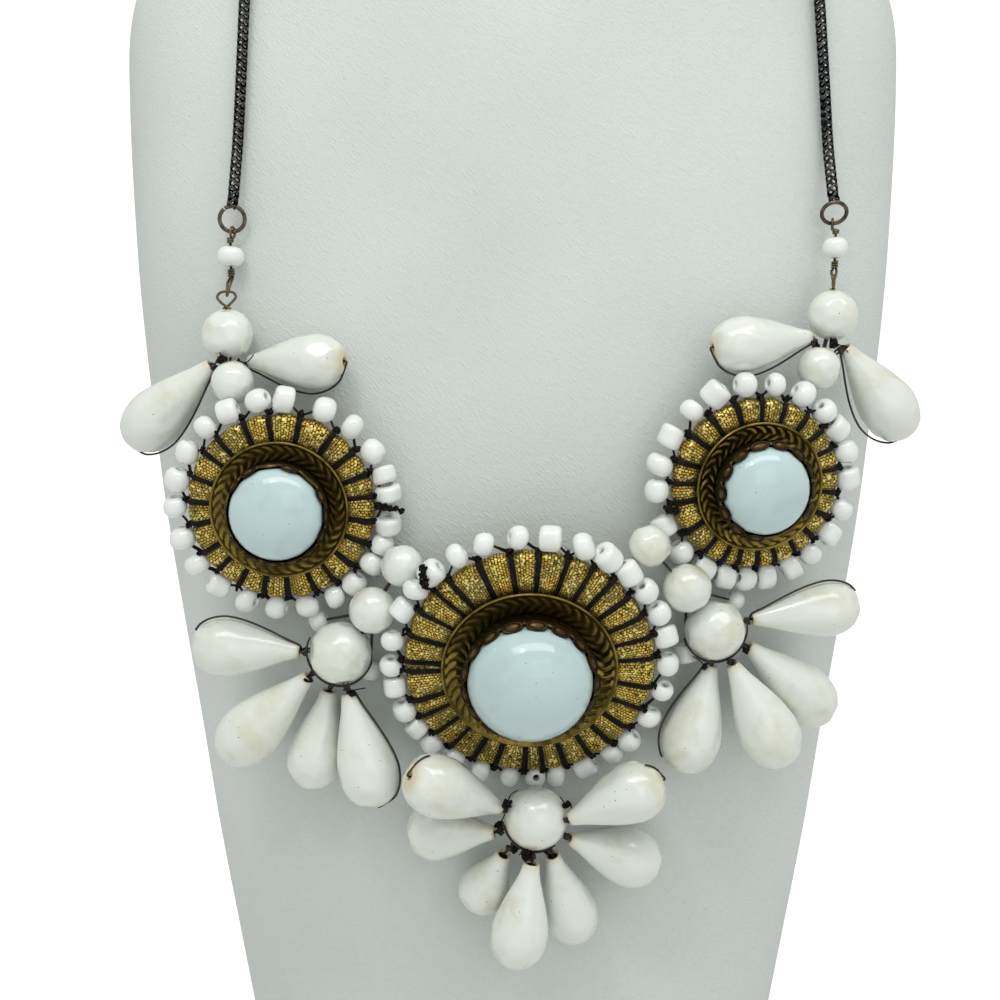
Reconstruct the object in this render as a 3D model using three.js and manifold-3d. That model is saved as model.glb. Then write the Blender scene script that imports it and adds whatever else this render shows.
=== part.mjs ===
// Bib necklace on a plain neck bust. Millimetres, +Z up, the front faces -Y.
// Origin: centre of the bust's underside.
import * as THREE from "three";
import Module from "manifold-3d";

const wasm = await Module();
wasm.setup();

// Bust: rounded-box sections, from the underside to the top of the neck.
const BUST_SIDES = 28;
const BUST_POWER = 2.6;
const BUST = [
  { z: 0, half: 53, front: 34, back: 34 },
  { z: 20, half: 56.2, front: 35.5, back: 36 },
  { z: 44, half: 60, front: 37.5, back: 38 },
  { z: 66, half: 63.4, front: 39.5, back: 40 },
  { z: 89, half: 66.4, front: 41, back: 41.5 },
  { z: 111, half: 69.5, front: 41.8, back: 42.5 },
  { z: 132, half: 72.3, front: 42, back: 43 },
  { z: 153, half: 74.4, front: 40.5, back: 43 },
  { z: 174, half: 76.2, front: 37.5, back: 42 },
  { z: 194, half: 77.1, front: 34, back: 41 },
  { z: 213, half: 77.4, front: 30.5, back: 39 },
  { z: 226, half: 76.8, front: 28, back: 37 },
  { z: 235, half: 74, front: 26.5, back: 35.5 },
  { z: 242, half: 68, front: 25.5, back: 34.5 },
  { z: 248, half: 58, front: 25, back: 34 },
  { z: 254, half: 49, front: 24.5, back: 33.5 },
  { z: 262, half: 42, front: 24.5, back: 33 },
  { z: 275, half: 37.5, front: 25, back: 33 },
  { z: 290, half: 36, front: 26, back: 33 },
  { z: 303, half: 35.5, front: 26.5, back: 33 },
  { z: 305, half: 33.5, front: 24.5, back: 31 },
];

// Chain and links.
const CHAIN_R = 1.05;
const CHAIN_GAP = 0.4;
const CHAIN_STEPS = 32;
const RING_R = 2.3;
const RING_WIRE_R = 0.38;
const EYE_R = 0.98;
const LINK_WIRE_R = 0.25;
const LINK_HOLE_R = 0.6;
const CLASP_Z = 256;
const CLASP_R = 2.1;
const CLASP_LENGTH = 10;
const SIDES = [
  { side: "left", dir: -1, ring: [-51.4, -32, 189.8], lean: 0, bead: [-52.1, -34, 183.4],
    bead_r: 2.2, eye: [-52.2, -35, 175.3], eye_turn: 0,
    front: [[-51.1, 193.6], [-50.5, 203], [-49.9, 213], [-49.2, 228], [-48.7, 240]] },
  { side: "right", dir: 1, ring: [58.8, -30.4, 190.9], lean: 32, bead: [58.3, -33, 184.7],
    bead_r: 2.3, eye: [58.6, -34.4, 179.2], eye_turn: 80,
    front: [[58.5, 194], [58, 203], [57.3, 213], [56.3, 228], [55.7, 239]] },
];
// Over each shoulder and round the neck: angle from the front's middle, height, stand-off.
const SHOULDERS = {
  left: [[52, 248, 1.9], [70, 253, 2.3], [88, 255.5, 2.5], [108, 256.6, 2.4],
    [130, 257, 1.9], [150, 256.8, 1.6], [168, 256.2, 1.5], [173.6, 256, 1.6]],
  right: [[61, 246, 1.9], [79, 250.3, 2.3], [97, 252, 2.4], [117, 253.2, 2.2],
    [138, 254.4, 1.9], [156, 255.3, 1.6], [169, 255.8, 1.5], [173.6, 256, 1.6]],
};

// Medallions: place of the disc's middle, tip (below level) and turn (outward) of its face.
const DISC_HALF = 1.7;
const SEED_R = 2.15;
const SEED_LONG = 3.8;
const SEED_BACK = 0.6;
const THREAD_R = 0.4;
const MEDALLIONS = [
  { name: "left", at: [-41.7, -46, 139.1], tip: 4, turn: -2, disc: 16.5, dish: 12.4,
    stone: 8.3, girdle: 6.2, dome: 4.4, ring: 19.3,
    seeds: [7, 17, 31, 48, 65, 87, 101, 118, 133, 150, 166, 181, 199, 215, 231, 249, 265,
      282, 298, 311, 326, 338, 350] },
  { name: "centre", at: [2.8, -50, 111.1], tip: 15, turn: 0, disc: 22.2, dish: 15.8,
    stone: 10.6, girdle: 8, dome: 5.5, ring: 24.9,
    seeds: [359, 12, 23, 35, 46, 57, 68, 82, 95, 109, 121, 134, 144, 155, 170, 182, 192,
      204, 214, 224, 236, 249, 262, 273, 282, 295, 308, 318, 332, 346] },
  { name: "right", at: [43.2, -45, 143.1], tip: 4, turn: 11, disc: 15.2, dish: 11.7,
    stone: 7.9, girdle: 6.2, dome: 4.4, ring: 18,
    seeds: [1, 17, 32, 45, 62, 80, 98, 116, 132, 151, 168, 183, 205, 224, 241, 255, 268,
      280, 296, 310, 326, 342] },
];

// Round beads: middle and radius.
const ROUNDS = [
  { name: "round_left_1", at: [-52, -37.2, 169.1], r: 4.7 },
  { name: "round_left_2", at: [-50.5, -42, 160.9], r: 3.9 },
  { name: "round_left_3", at: [-20, -49.3, 128.8], r: 3.8 },
  { name: "round_left_4", at: [-25.4, -48.7, 120.5], r: 4.3 },
  { name: "hub_left", at: [-31.5, -47.6, 112.3], r: 5.7 },
  { name: "round_right_1", at: [57.8, -37.3, 172.6], r: 4.6 },
  { name: "round_right_2", at: [55, -40.6, 163.4], r: 3.9 },
  { name: "round_right_3", at: [24, -51.5, 132.9], r: 3.8 },
  { name: "round_right_4", at: [30.9, -50, 124.9], r: 4.4 },
  { name: "hub_right", at: [36.4, -47.2, 116.5], r: 5.5 },
  { name: "hub_bottom", at: [4.1, -49.6, 81.5], r: 5.8 },
];
const SPACERS = [
  { name: "spacer_left_1", at: [-35.8, -42.5, 117], r: 1.9 },
  { name: "spacer_left_2", at: [-26.5, -43.1, 107.6], r: 1.9 },
  { name: "spacer_right_1", at: [40.7, -41.8, 120.6], r: 2 },
  { name: "spacer_right_2", at: [31.7, -43.6, 111.1], r: 2 },
];

// Teardrops: point, middle of the round end, greatest width.
const DROPS = [
  { name: "drop_left_top_1", point: [-54.6, -40, 164], end: [-70.8, -35.5, 149.1], width: 10.8 },
  { name: "drop_left_top_2", point: [-48.4, -37.6, 164.3], end: [-30, -44.3, 164.9], width: 10 },
  { name: "drop_right_top_1", point: [53.6, -40, 169], end: [35, -45, 167.4], width: 10 },
  { name: "drop_right_top_2", point: [60, -38.5, 167], end: [73, -34, 150.5], width: 10.6 },
  { name: "drop_left_1", point: [-39, -45.5, 112], end: [-58.8, -44, 113], width: 11.2 },
  { name: "drop_left_2", point: [-37.4, -46, 107.5], end: [-53.6, -44, 91.3], width: 11.4 },
  { name: "drop_left_3", point: [-34, -43.8, 104.2], end: [-38.1, -43, 85.2], width: 10.6 },
  { name: "drop_left_4", point: [-30.2, -48, 104.9], end: [-24.9, -49.8, 84], width: 11.2 },
  { name: "drop_right_1", point: [43.3, -45, 117.9], end: [63.5, -40.5, 119.8], width: 10.6 },
  { name: "drop_right_2", point: [43, -43.7, 112.5], end: [59.5, -37.5, 97.4], width: 11 },
  { name: "drop_right_3", point: [39.6, -48, 110.4], end: [50, -47, 91.2], width: 11.2 },
  { name: "drop_right_4", point: [36.2, -46, 109.6], end: [31, -46, 89.3], width: 11.1 },
  { name: "drop_bottom_1", point: [-2.4, -51, 84], end: [-18.6, -60, 93.4], width: 11.4 },
  { name: "drop_bottom_2", point: [-3.4, -49, 78.5], end: [-19.6, -44.6, 77.2], width: 10.9 },
  { name: "drop_bottom_3", point: [-1.8, -48.8, 74.2], end: [-7.2, -44.2, 62.2], width: 9.6 },
  { name: "drop_bottom_4", point: [3.3, -52.3, 74], end: [0, -52.3, 53.7], width: 10.7 },
  { name: "drop_bottom_5", point: [7.1, -50, 74.6], end: [12.4, -43.6, 55.4], width: 10.1 },
  { name: "drop_bottom_6", point: [10.2, -50, 77.8], end: [26.8, -44, 70], width: 11.2 },
  { name: "drop_bottom_7", point: [10, -52.3, 82.3], end: [27.1, -52.5, 90], width: 11.2 },
];
// Share of the length, share of the half-width.
const DROP_SHAPE = [[0, 0.22], [0.14, 0.4], [0.36, 0.72], [0.64, 1], [0.86, 0.84], [1, 0.22]];

const LOOKS = {
  leatherette: [0xd9dcd9, 0.75, 0],
  chain: [0x2e2b29, 0.45, 0.9],
  ring: [0x5e5640, 0.4, 0.9],
  wire: [0x7a6f46, 0.4, 0.9],
  stone: [0xecefe8, 0.25, 0],
  seed: [0xf2f4f2, 0.3, 0],
  ribbon: [0x9a7d2c, 0.55, 0.6],
  dish: [0x55450f, 0.45, 0.9],
  cabochon: [0xcde4e8, 0.12, 0],
};

const part = new THREE.Group();

function add(name, geometry, look) {
  const [color, roughness, metalness] = LOOKS[look];
  const mesh = new THREE.Mesh(geometry);
  mesh.material = new THREE.MeshStandardMaterial({ color, roughness, metalness });
  mesh.name = name;
  part.add(mesh);
}

function toSolid(geometry) {
  const keys = new Map();
  const points = [];
  const triangles = [];
  const flat = geometry.index ? geometry.toNonIndexed() : geometry;
  const p = flat.attributes.position;
  for (let i = 0; i < p.count; i += 3) {
    const corner = [0, 1, 2].map((j) => {
      const xyz = [p.getX(i + j), p.getY(i + j), p.getZ(i + j)];
      const key = xyz.map((v) => Math.round(v * 1000)).join(" ");
      if (!keys.has(key)) {
        keys.set(key, points.length / 3);
        points.push(...xyz);
      }
      return keys.get(key);
    });
    if (new Set(corner).size === 3) triangles.push(...corner);
  }
  return new wasm.Manifold(new wasm.Mesh({
    numProp: 3,
    vertProperties: new Float32Array(points),
    triVerts: new Uint32Array(triangles),
  }));
}

function toGeometry(solid) {
  const mesh = solid.getMesh();
  const geometry = new THREE.BufferGeometry();
  geometry.setAttribute("position", new THREE.BufferAttribute(mesh.vertProperties, 3));
  geometry.setIndex(new THREE.BufferAttribute(mesh.triVerts, 1));
  return geometry;
}

function joined(geometries) {
  return toGeometry(geometries.map(toSolid).reduce((a, b) => a.add(b)));
}

function vector([x, y, z]) {
  return new THREE.Vector3(x, y, z);
}

// Turned body with its axis along +Y: rows of radius, height.
function turned(rows, sides) {
  return new THREE.LatheGeometry(rows.map(([r, h]) => new THREE.Vector2(r, h)), sides);
}

// Takes +Y onto the line from one point to another, starting at the first.
function along(geometry, from, to) {
  const way = to.clone().sub(from).normalize();
  const turn = new THREE.Quaternion().setFromUnitVectors(new THREE.Vector3(0, 1, 0), way);
  return geometry.applyQuaternion(turn).translate(from.x, from.y, from.z);
}

function bustAt(z) {
  const top = Math.max(1, BUST.findIndex((row) => row.z >= z));
  const low = BUST[top - 1];
  const high = BUST[top];
  const t = (z - low.z) / (high.z - low.z);
  const mix = (key) => low[key] + t * (high[key] - low[key]);
  return { half: mix("half"), front: mix("front"), back: mix("back") };
}

// Point on the bust's wall at an angle (0 = middle of the front), moved out by off.
function onBust(turn, z, off) {
  const at = bustAt(z);
  const a = THREE.MathUtils.degToRad(turn);
  const bend = (v) => Math.sign(v) * Math.abs(v) ** (2 / BUST_POWER);
  const deep = Math.cos(a) > 0 ? at.front : at.back;
  return new THREE.Vector3(
    (at.half + off) * bend(Math.sin(a)), -(deep + off) * bend(Math.cos(a)), z);
}

function frontOfBust(x, z, off) {
  const at = bustAt(z);
  const share = (Math.abs(x) / at.half) ** BUST_POWER;
  return new THREE.Vector3(x, -at.front * (1 - share) ** (1 / BUST_POWER) - off, z);
}

function bust() {
  const points = [];
  const faces = [];
  BUST.forEach(({ z }) => {
    for (let i = 0; i < BUST_SIDES; i++)
      points.push(...onBust((360 * i) / BUST_SIDES, z, 0).toArray());
  });
  const bottom = points.length / 3;
  points.push(0, 0, BUST[0].z);
  points.push(0, 0, BUST[BUST.length - 1].z);
  for (let i = 0; i < BUST_SIDES; i++) {
    const j = (i + 1) % BUST_SIDES;
    for (let k = 0; k < BUST.length - 1; k++) {
      const low = k * BUST_SIDES;
      const high = low + BUST_SIDES;
      faces.push(low + i, low + j, high + j);
      faces.push(low + i, high + j, high + i);
    }
    const last = (BUST.length - 1) * BUST_SIDES;
    faces.push(bottom, j, i);
    faces.push(bottom + 1, last + i, last + j);
  }
  const geometry = new THREE.BufferGeometry();
  geometry.setAttribute("position", new THREE.Float32BufferAttribute(points, 3));
  geometry.setIndex(faces);
  return geometry;
}

function tube(points, radius, sides, steps) {
  const circle = new THREE.Shape();
  for (let i = 0; i < sides; i++) {
    const a = (2 * Math.PI * i) / sides;
    const to = [radius * Math.cos(a), radius * Math.sin(a)];
    i ? circle.lineTo(...to) : circle.moveTo(...to);
  }
  circle.closePath();
  const extrudePath = new THREE.CatmullRomCurve3(points);
  return new THREE.ExtrudeGeometry(circle, { steps, extrudePath, bevelEnabled: false });
}

add("bust", bust(), "leatherette");

// Chain, jump ring, wrapped link and its small bead on each side.
SIDES.forEach(({ side, dir, ring, lean, bead, bead_r, eye, eye_turn, front }) => {
  const off = CHAIN_R + CHAIN_GAP;
  const route = front.map(([x, z]) => frontOfBust(x, z, off));
  route[0].y = ring[1];
  SHOULDERS[side].forEach(([turn, z, out]) => route.push(onBust(dir * turn, z, out)));
  add("chain_" + side, tube(route, CHAIN_R, 8, CHAIN_STEPS), "chain");

  const hoop = new THREE.TorusGeometry(RING_R, RING_WIRE_R, 6, 18);
  hoop.rotateX(THREE.MathUtils.degToRad(90 + lean)).translate(...ring);
  add("jump_ring_" + side, hoop, "ring");

  const a = THREE.MathUtils.degToRad(lean);
  const hook = vector(ring).add(vector([0, -RING_R * Math.sin(a), -RING_R * Math.cos(a)]));
  const upper = new THREE.TorusGeometry(EYE_R, LINK_WIRE_R, 6, 14);
  upper.rotateY(Math.PI / 2).translate(...hook.toArray());
  const lower = new THREE.TorusGeometry(1.3, LINK_WIRE_R, 6, 14).rotateX(Math.PI / 2);
  lower.rotateZ(THREE.MathUtils.degToRad(eye_turn)).translate(...eye);
  const from = hook.clone().add(vector([0, 0, -EYE_R]));
  const to = vector(eye).add(vector([0, 0, 1.3]));
  const middle = vector(bead);
  const rod = (p, q) => along(turned([[0, 0], [LINK_WIRE_R, 0],
    [LINK_WIRE_R, p.distanceTo(q)], [0, p.distanceTo(q)]], 6), p, q);
  add("link_wire_" + side, joined([upper, lower, rod(from, to)]), "wire");

  const way = to.clone().sub(from).normalize();
  const mid = from.clone().addScaledVector(way, middle.sub(from).dot(way));
  const half = 1.9;
  const body = turned([[LINK_HOLE_R, -half], [bead_r * 0.72, -half], [bead_r, -half * 0.35],
    [bead_r, half * 0.35], [bead_r * 0.72, half], [LINK_HOLE_R, half], [LINK_HOLE_R, -half]], 10);
  add("link_bead_" + side, along(body, mid, mid.clone().add(way)), "seed");
});

// Clasp behind the neck.
function clasp() {
  const y = bustAt(CLASP_Z).back + CLASP_R + CHAIN_GAP;
  const half = CLASP_LENGTH / 2;
  const barrel = turned([[0, -half], [1.2, -half], [CLASP_R, -half + 1], [CLASP_R, half - 1],
    [1.2, half], [0, half]], 12).rotateZ(Math.PI / 2).translate(0, y, CLASP_Z);
  const loops = [-1, 1].map((d) =>
    new THREE.TorusGeometry(0.95, 0.35, 6, 12).translate(d * (half + 0.9), y, CLASP_Z));
  return joined([barrel, ...loops]);
}
add("clasp", clasp(), "chain");

// Medallions: ribbon-covered disc, stamped dish, bezel cup, domed stone, ring of seed beads.
MEDALLIONS.forEach((m) => {
  const tip = THREE.MathUtils.degToRad(m.tip);
  const turn = THREE.MathUtils.degToRad(m.turn);
  const out = vector([Math.sin(turn) * Math.cos(tip), -Math.cos(turn) * Math.cos(tip), -Math.sin(tip)]);
  const up = new THREE.Vector3(0, 0, 1).addScaledVector(out, -out.z).normalize();
  const right = up.clone().cross(out);
  const place = new THREE.Matrix4().makeBasis(right, up, out).setPosition(...m.at);
  const dished = (rows) => turned(rows, 24).rotateX(Math.PI / 2).applyMatrix4(place);
  const R = m.disc;
  add("disc_" + m.name, dished([[0, -DISC_HALF], [R - 1, -DISC_HALF], [R, -0.5], [R, 0.4],
    [R - 1.2, 1.2], [R * 0.7, 1.3], [0, 1.2]]), "ribbon");
  const D = m.dish;
  const s = m.stone;
  add("dish_" + m.name, dished([[0, 1.6], [D * 0.8, 1.6], [D, 2.7], [D, 3.3], [D - 0.9, 3.3],
    [D * 0.78, 2.3], [0, 2.1]]), "dish");
  add("bezel_" + m.name, dished([[0, 2.5], [s - 0.4, 2.5], [s + 0.9, m.girdle - 1],
    [s + 0.9, m.girdle + 0.4], [s + 0.4, m.girdle + 0.4], [s + 0.4, m.girdle - 0.8],
    [s - 0.8, 3.1], [0, 3.1]]), "dish");
  const dome = [0, 0.25, 0.5, 0.72, 0.9, 1].map((t) => {
    const a = (t * Math.PI) / 2;
    return [s * Math.cos(a), m.girdle + m.dome * Math.sin(a)];
  });
  dome[5][0] = 0;
  add("cabochon_" + m.name, dished([[0, 3.5], [s - 1.3, 3.5], [s, m.girdle - 0.6], ...dome]),
    "cabochon");
  const beads = m.seeds.map((angle) => {
    const a = THREE.MathUtils.degToRad(angle);
    const h = SEED_LONG / 2;
    const bead = turned([[0, -h], [SEED_R * 0.75, -h], [SEED_R, 0], [SEED_R * 0.75, h],
      [0, h]], 6);
    return bead.rotateZ(a).translate(m.ring * Math.cos(a), m.ring * Math.sin(a), -SEED_BACK);
  });
  const thread = new THREE.TorusGeometry(m.ring, THREAD_R, 4, 45).translate(0, 0, -SEED_BACK);
  const ring = joined([thread, ...beads]);
  add("seed_ring_" + m.name, ring.applyMatrix4(place), "seed");
});

[...ROUNDS, ...SPACERS].forEach(({ name, at, r }) => {
  const fine = r > 3;
  const ball = new THREE.SphereGeometry(r, fine ? 10 : 8, fine ? 7 : 5).translate(...at);
  add(name, ball, fine ? "stone" : "seed");
});

DROPS.forEach(({ name, point, end, width }) => {
  const from = vector(point);
  const to = vector(end);
  const long = from.distanceTo(to);
  const rows = DROP_SHAPE.map(([l, w]) => [(w * width) / 2, l * long]);
  add(name, along(turned([[0, 0], ...rows, [0, long]], 9), from, to), "stone");
});

export default part;
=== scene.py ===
import math

import bpy
import numpy as np
from mathutils import Matrix, Vector


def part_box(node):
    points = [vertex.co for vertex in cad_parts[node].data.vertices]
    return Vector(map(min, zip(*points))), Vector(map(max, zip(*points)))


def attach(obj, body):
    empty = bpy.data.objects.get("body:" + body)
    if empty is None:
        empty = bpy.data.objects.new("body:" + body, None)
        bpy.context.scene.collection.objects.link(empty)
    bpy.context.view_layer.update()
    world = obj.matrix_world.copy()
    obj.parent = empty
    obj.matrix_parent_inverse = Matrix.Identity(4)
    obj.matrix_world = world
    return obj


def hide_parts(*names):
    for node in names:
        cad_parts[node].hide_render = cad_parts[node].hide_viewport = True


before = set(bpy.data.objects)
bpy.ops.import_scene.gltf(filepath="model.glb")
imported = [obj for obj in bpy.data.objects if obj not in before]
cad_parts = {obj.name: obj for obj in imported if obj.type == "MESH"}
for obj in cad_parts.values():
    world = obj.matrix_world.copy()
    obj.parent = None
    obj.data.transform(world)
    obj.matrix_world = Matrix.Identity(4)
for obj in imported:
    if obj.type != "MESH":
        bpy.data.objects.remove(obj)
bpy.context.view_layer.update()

# ---------------------------------------------------------------------------
# Camera: stands in front of the bib, a little above it, and looks slightly down on
# the middle of the bib with a normal lens.
LOOK_AT = Vector((-0.0025, -0.045, 0.140))
CAMERA_DISTANCE = 0.290
CAMERA_PITCH = math.radians(10)
lens = bpy.data.cameras.new("camera")
lens.lens = 58.0
lens.sensor_width = 36.0
lens.clip_start = 0.01
camera = bpy.data.objects.new("camera", lens)
camera.location = LOOK_AT + CAMERA_DISTANCE * Vector(
    (0, -math.cos(CAMERA_PITCH), math.sin(CAMERA_PITCH)))
camera.rotation_euler = (math.pi / 2 - CAMERA_PITCH, 0, 0)
bpy.context.scene.collection.objects.link(camera)
bpy.context.scene.camera = camera
bpy.context.scene.view_settings.view_transform = "Standard"

# ---------------------------------------------------------------------------
# White sweep: a seamless round paper floor that curves up all round the bust,
# like a light tent. It glows white to the eye and only softly onto the object.
MM = 0.001


def blank_finish(name):
    finish = bpy.data.materials.new(name)
    finish.use_nodes = True
    return finish, finish.node_tree, finish.node_tree.nodes["Principled BSDF"]


def fill(tree, node, values):
    """Fills a node's inputs by name or number: a socket is joined on, a plain value is set."""
    for key, value in values.items():
        if isinstance(value, bpy.types.NodeSocket):
            tree.links.new(value, node.inputs[key])
        else:
            node.inputs[key].default_value = value


def add_node(tree, kind, values=None, **settings):
    """Adds a node with its options and fills its inputs."""
    node = tree.nodes.new("ShaderNode" + kind)
    for key, value in settings.items():
        setattr(node, key, value)
    fill(tree, node, values or {})
    return node


def full_turn(count):
    """Angles of evenly spaced points, once round."""
    return np.linspace(0, 2 * math.pi, count, endpoint=False)


def turned_rows(profile, columns):
    """Revolves rows of (radius, height) round +Z: one ring of points for each row."""
    profile = np.asarray(profile, float)
    around = full_turn(columns)
    ring = np.stack([np.cos(around), np.sin(around)], 1)
    points = np.empty((len(profile), columns, 3))
    points[:, :, :2] = profile[:, None, :1] * ring[None]
    points[:, :, 2] = profile[:, None, 1]
    return points


def sheet_faces(rows, columns, close_rows=False, close_columns=True):
    """Quads between neighbouring rows and columns of a grid of points."""
    down = np.arange(rows if close_rows else rows - 1)
    across = np.arange(columns if close_columns else columns - 1)
    i, j = np.meshgrid(down, across, indexing="ij")
    k, m = (i + 1) % rows, (j + 1) % columns
    return np.stack([i * columns + j, i * columns + m, k * columns + m, k * columns + j],
                    -1).reshape(-1, 4)


def end_caps(rows, columns):
    """Triangles that close the first and the last ring of a grid of points."""
    k = np.arange(1, columns - 1)
    low = np.stack([0 * k, k + 1, k], 1)
    return low, low[:, ::-1] + (rows - 1) * columns


def make_piece(name, parts, finish):
    """One mesh object from parts of (points in mm, faces); faces may be quads or triangles."""
    points, faces, start = [], [], 0
    for part in parts:
        spots = np.asarray(part[0], float).reshape(-1, 3)
        points.append(spots)
        for block in part[1:]:
            faces.extend((np.asarray(block) + start).tolist())
        start += len(spots)
    mesh = bpy.data.meshes.new(name)
    mesh.from_pydata((np.concatenate(points) * MM).tolist(), [], faces)
    mesh.shade_smooth()
    mesh.materials.append(finish)
    piece = bpy.data.objects.new(name, mesh)
    bpy.context.scene.collection.objects.link(piece)
    return piece


SWEEP_RADIUS = 1900
SWEEP_CURVE = 700
SWEEP_HEIGHT = 2600
SWEEP_COLUMNS = 96
FLOOR_DROP = -0.05
paper, tree, shader = blank_finish("white_paper")
eye = add_node(tree, "LightPath")
glow = add_node(tree, "MapRange", {"Value": eye.outputs["Is Camera Ray"], "To Min": 0.41,
    "To Max": 1.0})
fill(tree, shader, {"Base Color": (0.3, 0.3, 0.3, 1), "Roughness": 0.9,
    "Emission Color": (1, 1, 1, 1), "Emission Strength": glow.outputs["Result"]})
paper.cycles.emission_sampling = "NONE"
bend = [(SWEEP_RADIUS - SWEEP_CURVE * (1 - math.sin(a)),
         SWEEP_CURVE * (1 - math.cos(a)) + FLOOR_DROP) for a in np.linspace(0, math.pi / 2, 16)]
floor_line = [(r, FLOOR_DROP) for r in (2, 300, 900)] + bend + [(SWEEP_RADIUS, SWEEP_HEIGHT)]
sweep = turned_rows(floor_line, SWEEP_COLUMNS)
floor = make_piece("white_sweep", [(sweep, sheet_faces(len(floor_line), SWEEP_COLUMNS),
                                    end_caps(len(floor_line), SWEEP_COLUMNS)[0])], paper)

# Lights: a wide soft box above and in front, a weak fill from the front, and a small
# bright window for the glints on the glass. The white room gives the rest.
LIGHTS = [
    # name, place (m), aims at (m), width and height (m), power (W)
    ("top_softbox", (0.06, -0.34, 0.74), (0.0, -0.02, 0.14), (0.90, 0.24), 1.75),
    ("front_fill", (0.30, -0.95, 0.42), (0.0, -0.03, 0.13), (0.60, 0.60), 0.6),
    ("window_glint", (-0.14, -0.42, 0.66), (0.0, -0.03, 0.13), (0.06, 0.08), 0.30),
]
for name, place, aim, width, power in LIGHTS:
    lamp = bpy.data.lights.new(name, "AREA")
    lamp.shape = "RECTANGLE"
    lamp.size, lamp.size_y = width
    lamp.energy = power
    holder = bpy.data.objects.new(name, lamp)
    holder.location = place
    holder.rotation_euler = (Vector(aim) - Vector(place)).to_track_quat("-Z", "Y").to_euler()
    bpy.context.scene.collection.objects.link(holder)
sky = bpy.data.worlds.new("white_room")
sky.use_nodes = True
fill(sky.node_tree, sky.node_tree.nodes["Background"],
     {"Color": (1, 1, 1, 1), "Strength": 0.7})
bpy.context.scene.world = sky
# Everything is opaque, so a few bounces between the paper and the beads are enough.
bounces = bpy.context.scene.cycles
bounces.max_bounces, bounces.diffuse_bounces, bounces.glossy_bounces = 5, 2, 2

# ---------------------------------------------------------------------------
# Neck bust: a tapered core wrapped in white leatherette with a fine linen-like
# grain. The skin is pulled round to a seam down the back and turned under the foot.
BUST_HEIGHT = 305
NECK_EDGE = 300
BUST_ROUND = 2.6
WALL_SLIM = 0.975
SKIN_COLUMNS = 200
SEAM_WIDTH = 1.1
SEAM_DEPTH = 0.5
SEAM_REACH = 8
FOOT_ROUND = 2.2
FOOT_HOLLOW = 0.6


def srgb(red, green, blue):
    """Screen colour from 0 to 255 as a linear colour with alpha."""
    steps = [v / 255 for v in (red, green, blue)]
    return [v / 12.92 if v <= 0.04045 else ((v + 0.055) / 1.055) ** 2.4 for v in steps] + [1]


def node_points(name):
    """The places of a CAD node's vertices, in mm, each once."""
    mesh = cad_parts[name].data
    flat = np.zeros(len(mesh.vertices) * 3)
    mesh.vertices.foreach_get("co", flat)
    return np.unique(np.round(flat.reshape(-1, 3) * 1000, 3), axis=0)


def run_along(line):
    """How far each point is from a line's first one, measured along the line."""
    steps = np.linalg.norm(np.diff(line, axis=0), axis=1)
    return np.concatenate([[0], np.cumsum(steps)])


def smooth_line(controls, count, closed=False):
    """A smooth line through control points, as evenly spaced points."""
    p = np.asarray(controls, float)
    n = len(p)
    if closed:
        ext = np.concatenate([p[-1:], p, p[:2]])
        spans = n
    else:
        ext = np.concatenate([2 * p[:1] - p[1:2], p, 2 * p[-1:] - p[-2:-1]])
        spans = n - 1
    t = np.linspace(0, spans, spans * 16 + 1)
    k = np.minimum(t.astype(int), spans - 1)
    u = (t - k)[:, None]
    a, b, c, d = ext[k], ext[k + 1], ext[k + 2], ext[k + 3]
    fine = 0.5 * (2 * b + (c - a) * u + (2 * a - 5 * b + 4 * c - d) * u ** 2
                  + (3 * b - a - 3 * c + d) * u ** 3)
    run = run_along(fine)
    stops = np.linspace(0, run[-1], count + 1)[:-1] if closed else np.linspace(0, run[-1], count)
    return np.stack([np.interp(stops, run, fine[:, i]) for i in range(fine.shape[1])], 1)


spots = node_points("bust")
levels = []
for z in np.unique(spots[:, 2]):
    ring = spots[spots[:, 2] == z]
    if len(ring) > 4:
        levels.append((z, ring[:, 0].max(), -ring[:, 1].min(), ring[:, 1].max()))
levels = np.array(levels)
lift = np.concatenate([np.linspace(0, FOOT_ROUND, 7)[1:],
                       np.linspace(FOOT_ROUND, NECK_EDGE, 190)[1:],
                       np.linspace(NECK_EDGE, BUST_HEIGHT, 12)[1:]])


def bust_sizes(height):
    """Half-width, front depth and back depth at a height, as a smooth line through the levels."""
    table = smooth_line(levels, 600)
    return np.stack([np.interp(height, table[:, 0], table[:, i]) for i in (1, 2, 3)], -1)


def bust_ring(sizes, columns):
    """Points of one rounded-box section, starting at the middle of the back."""
    around = full_turn(columns) + math.pi / 2
    c, s = np.cos(around), np.sin(around)
    x = np.sign(c) * np.abs(c) ** (2 / BUST_ROUND)
    y = np.sign(s) * np.abs(s) ** (2 / BUST_ROUND)
    deep = np.where(s < 0, sizes[:, 1:2], sizes[:, 2:3])
    return np.stack([sizes[:, :1] * x, deep * y], -1)


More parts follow.
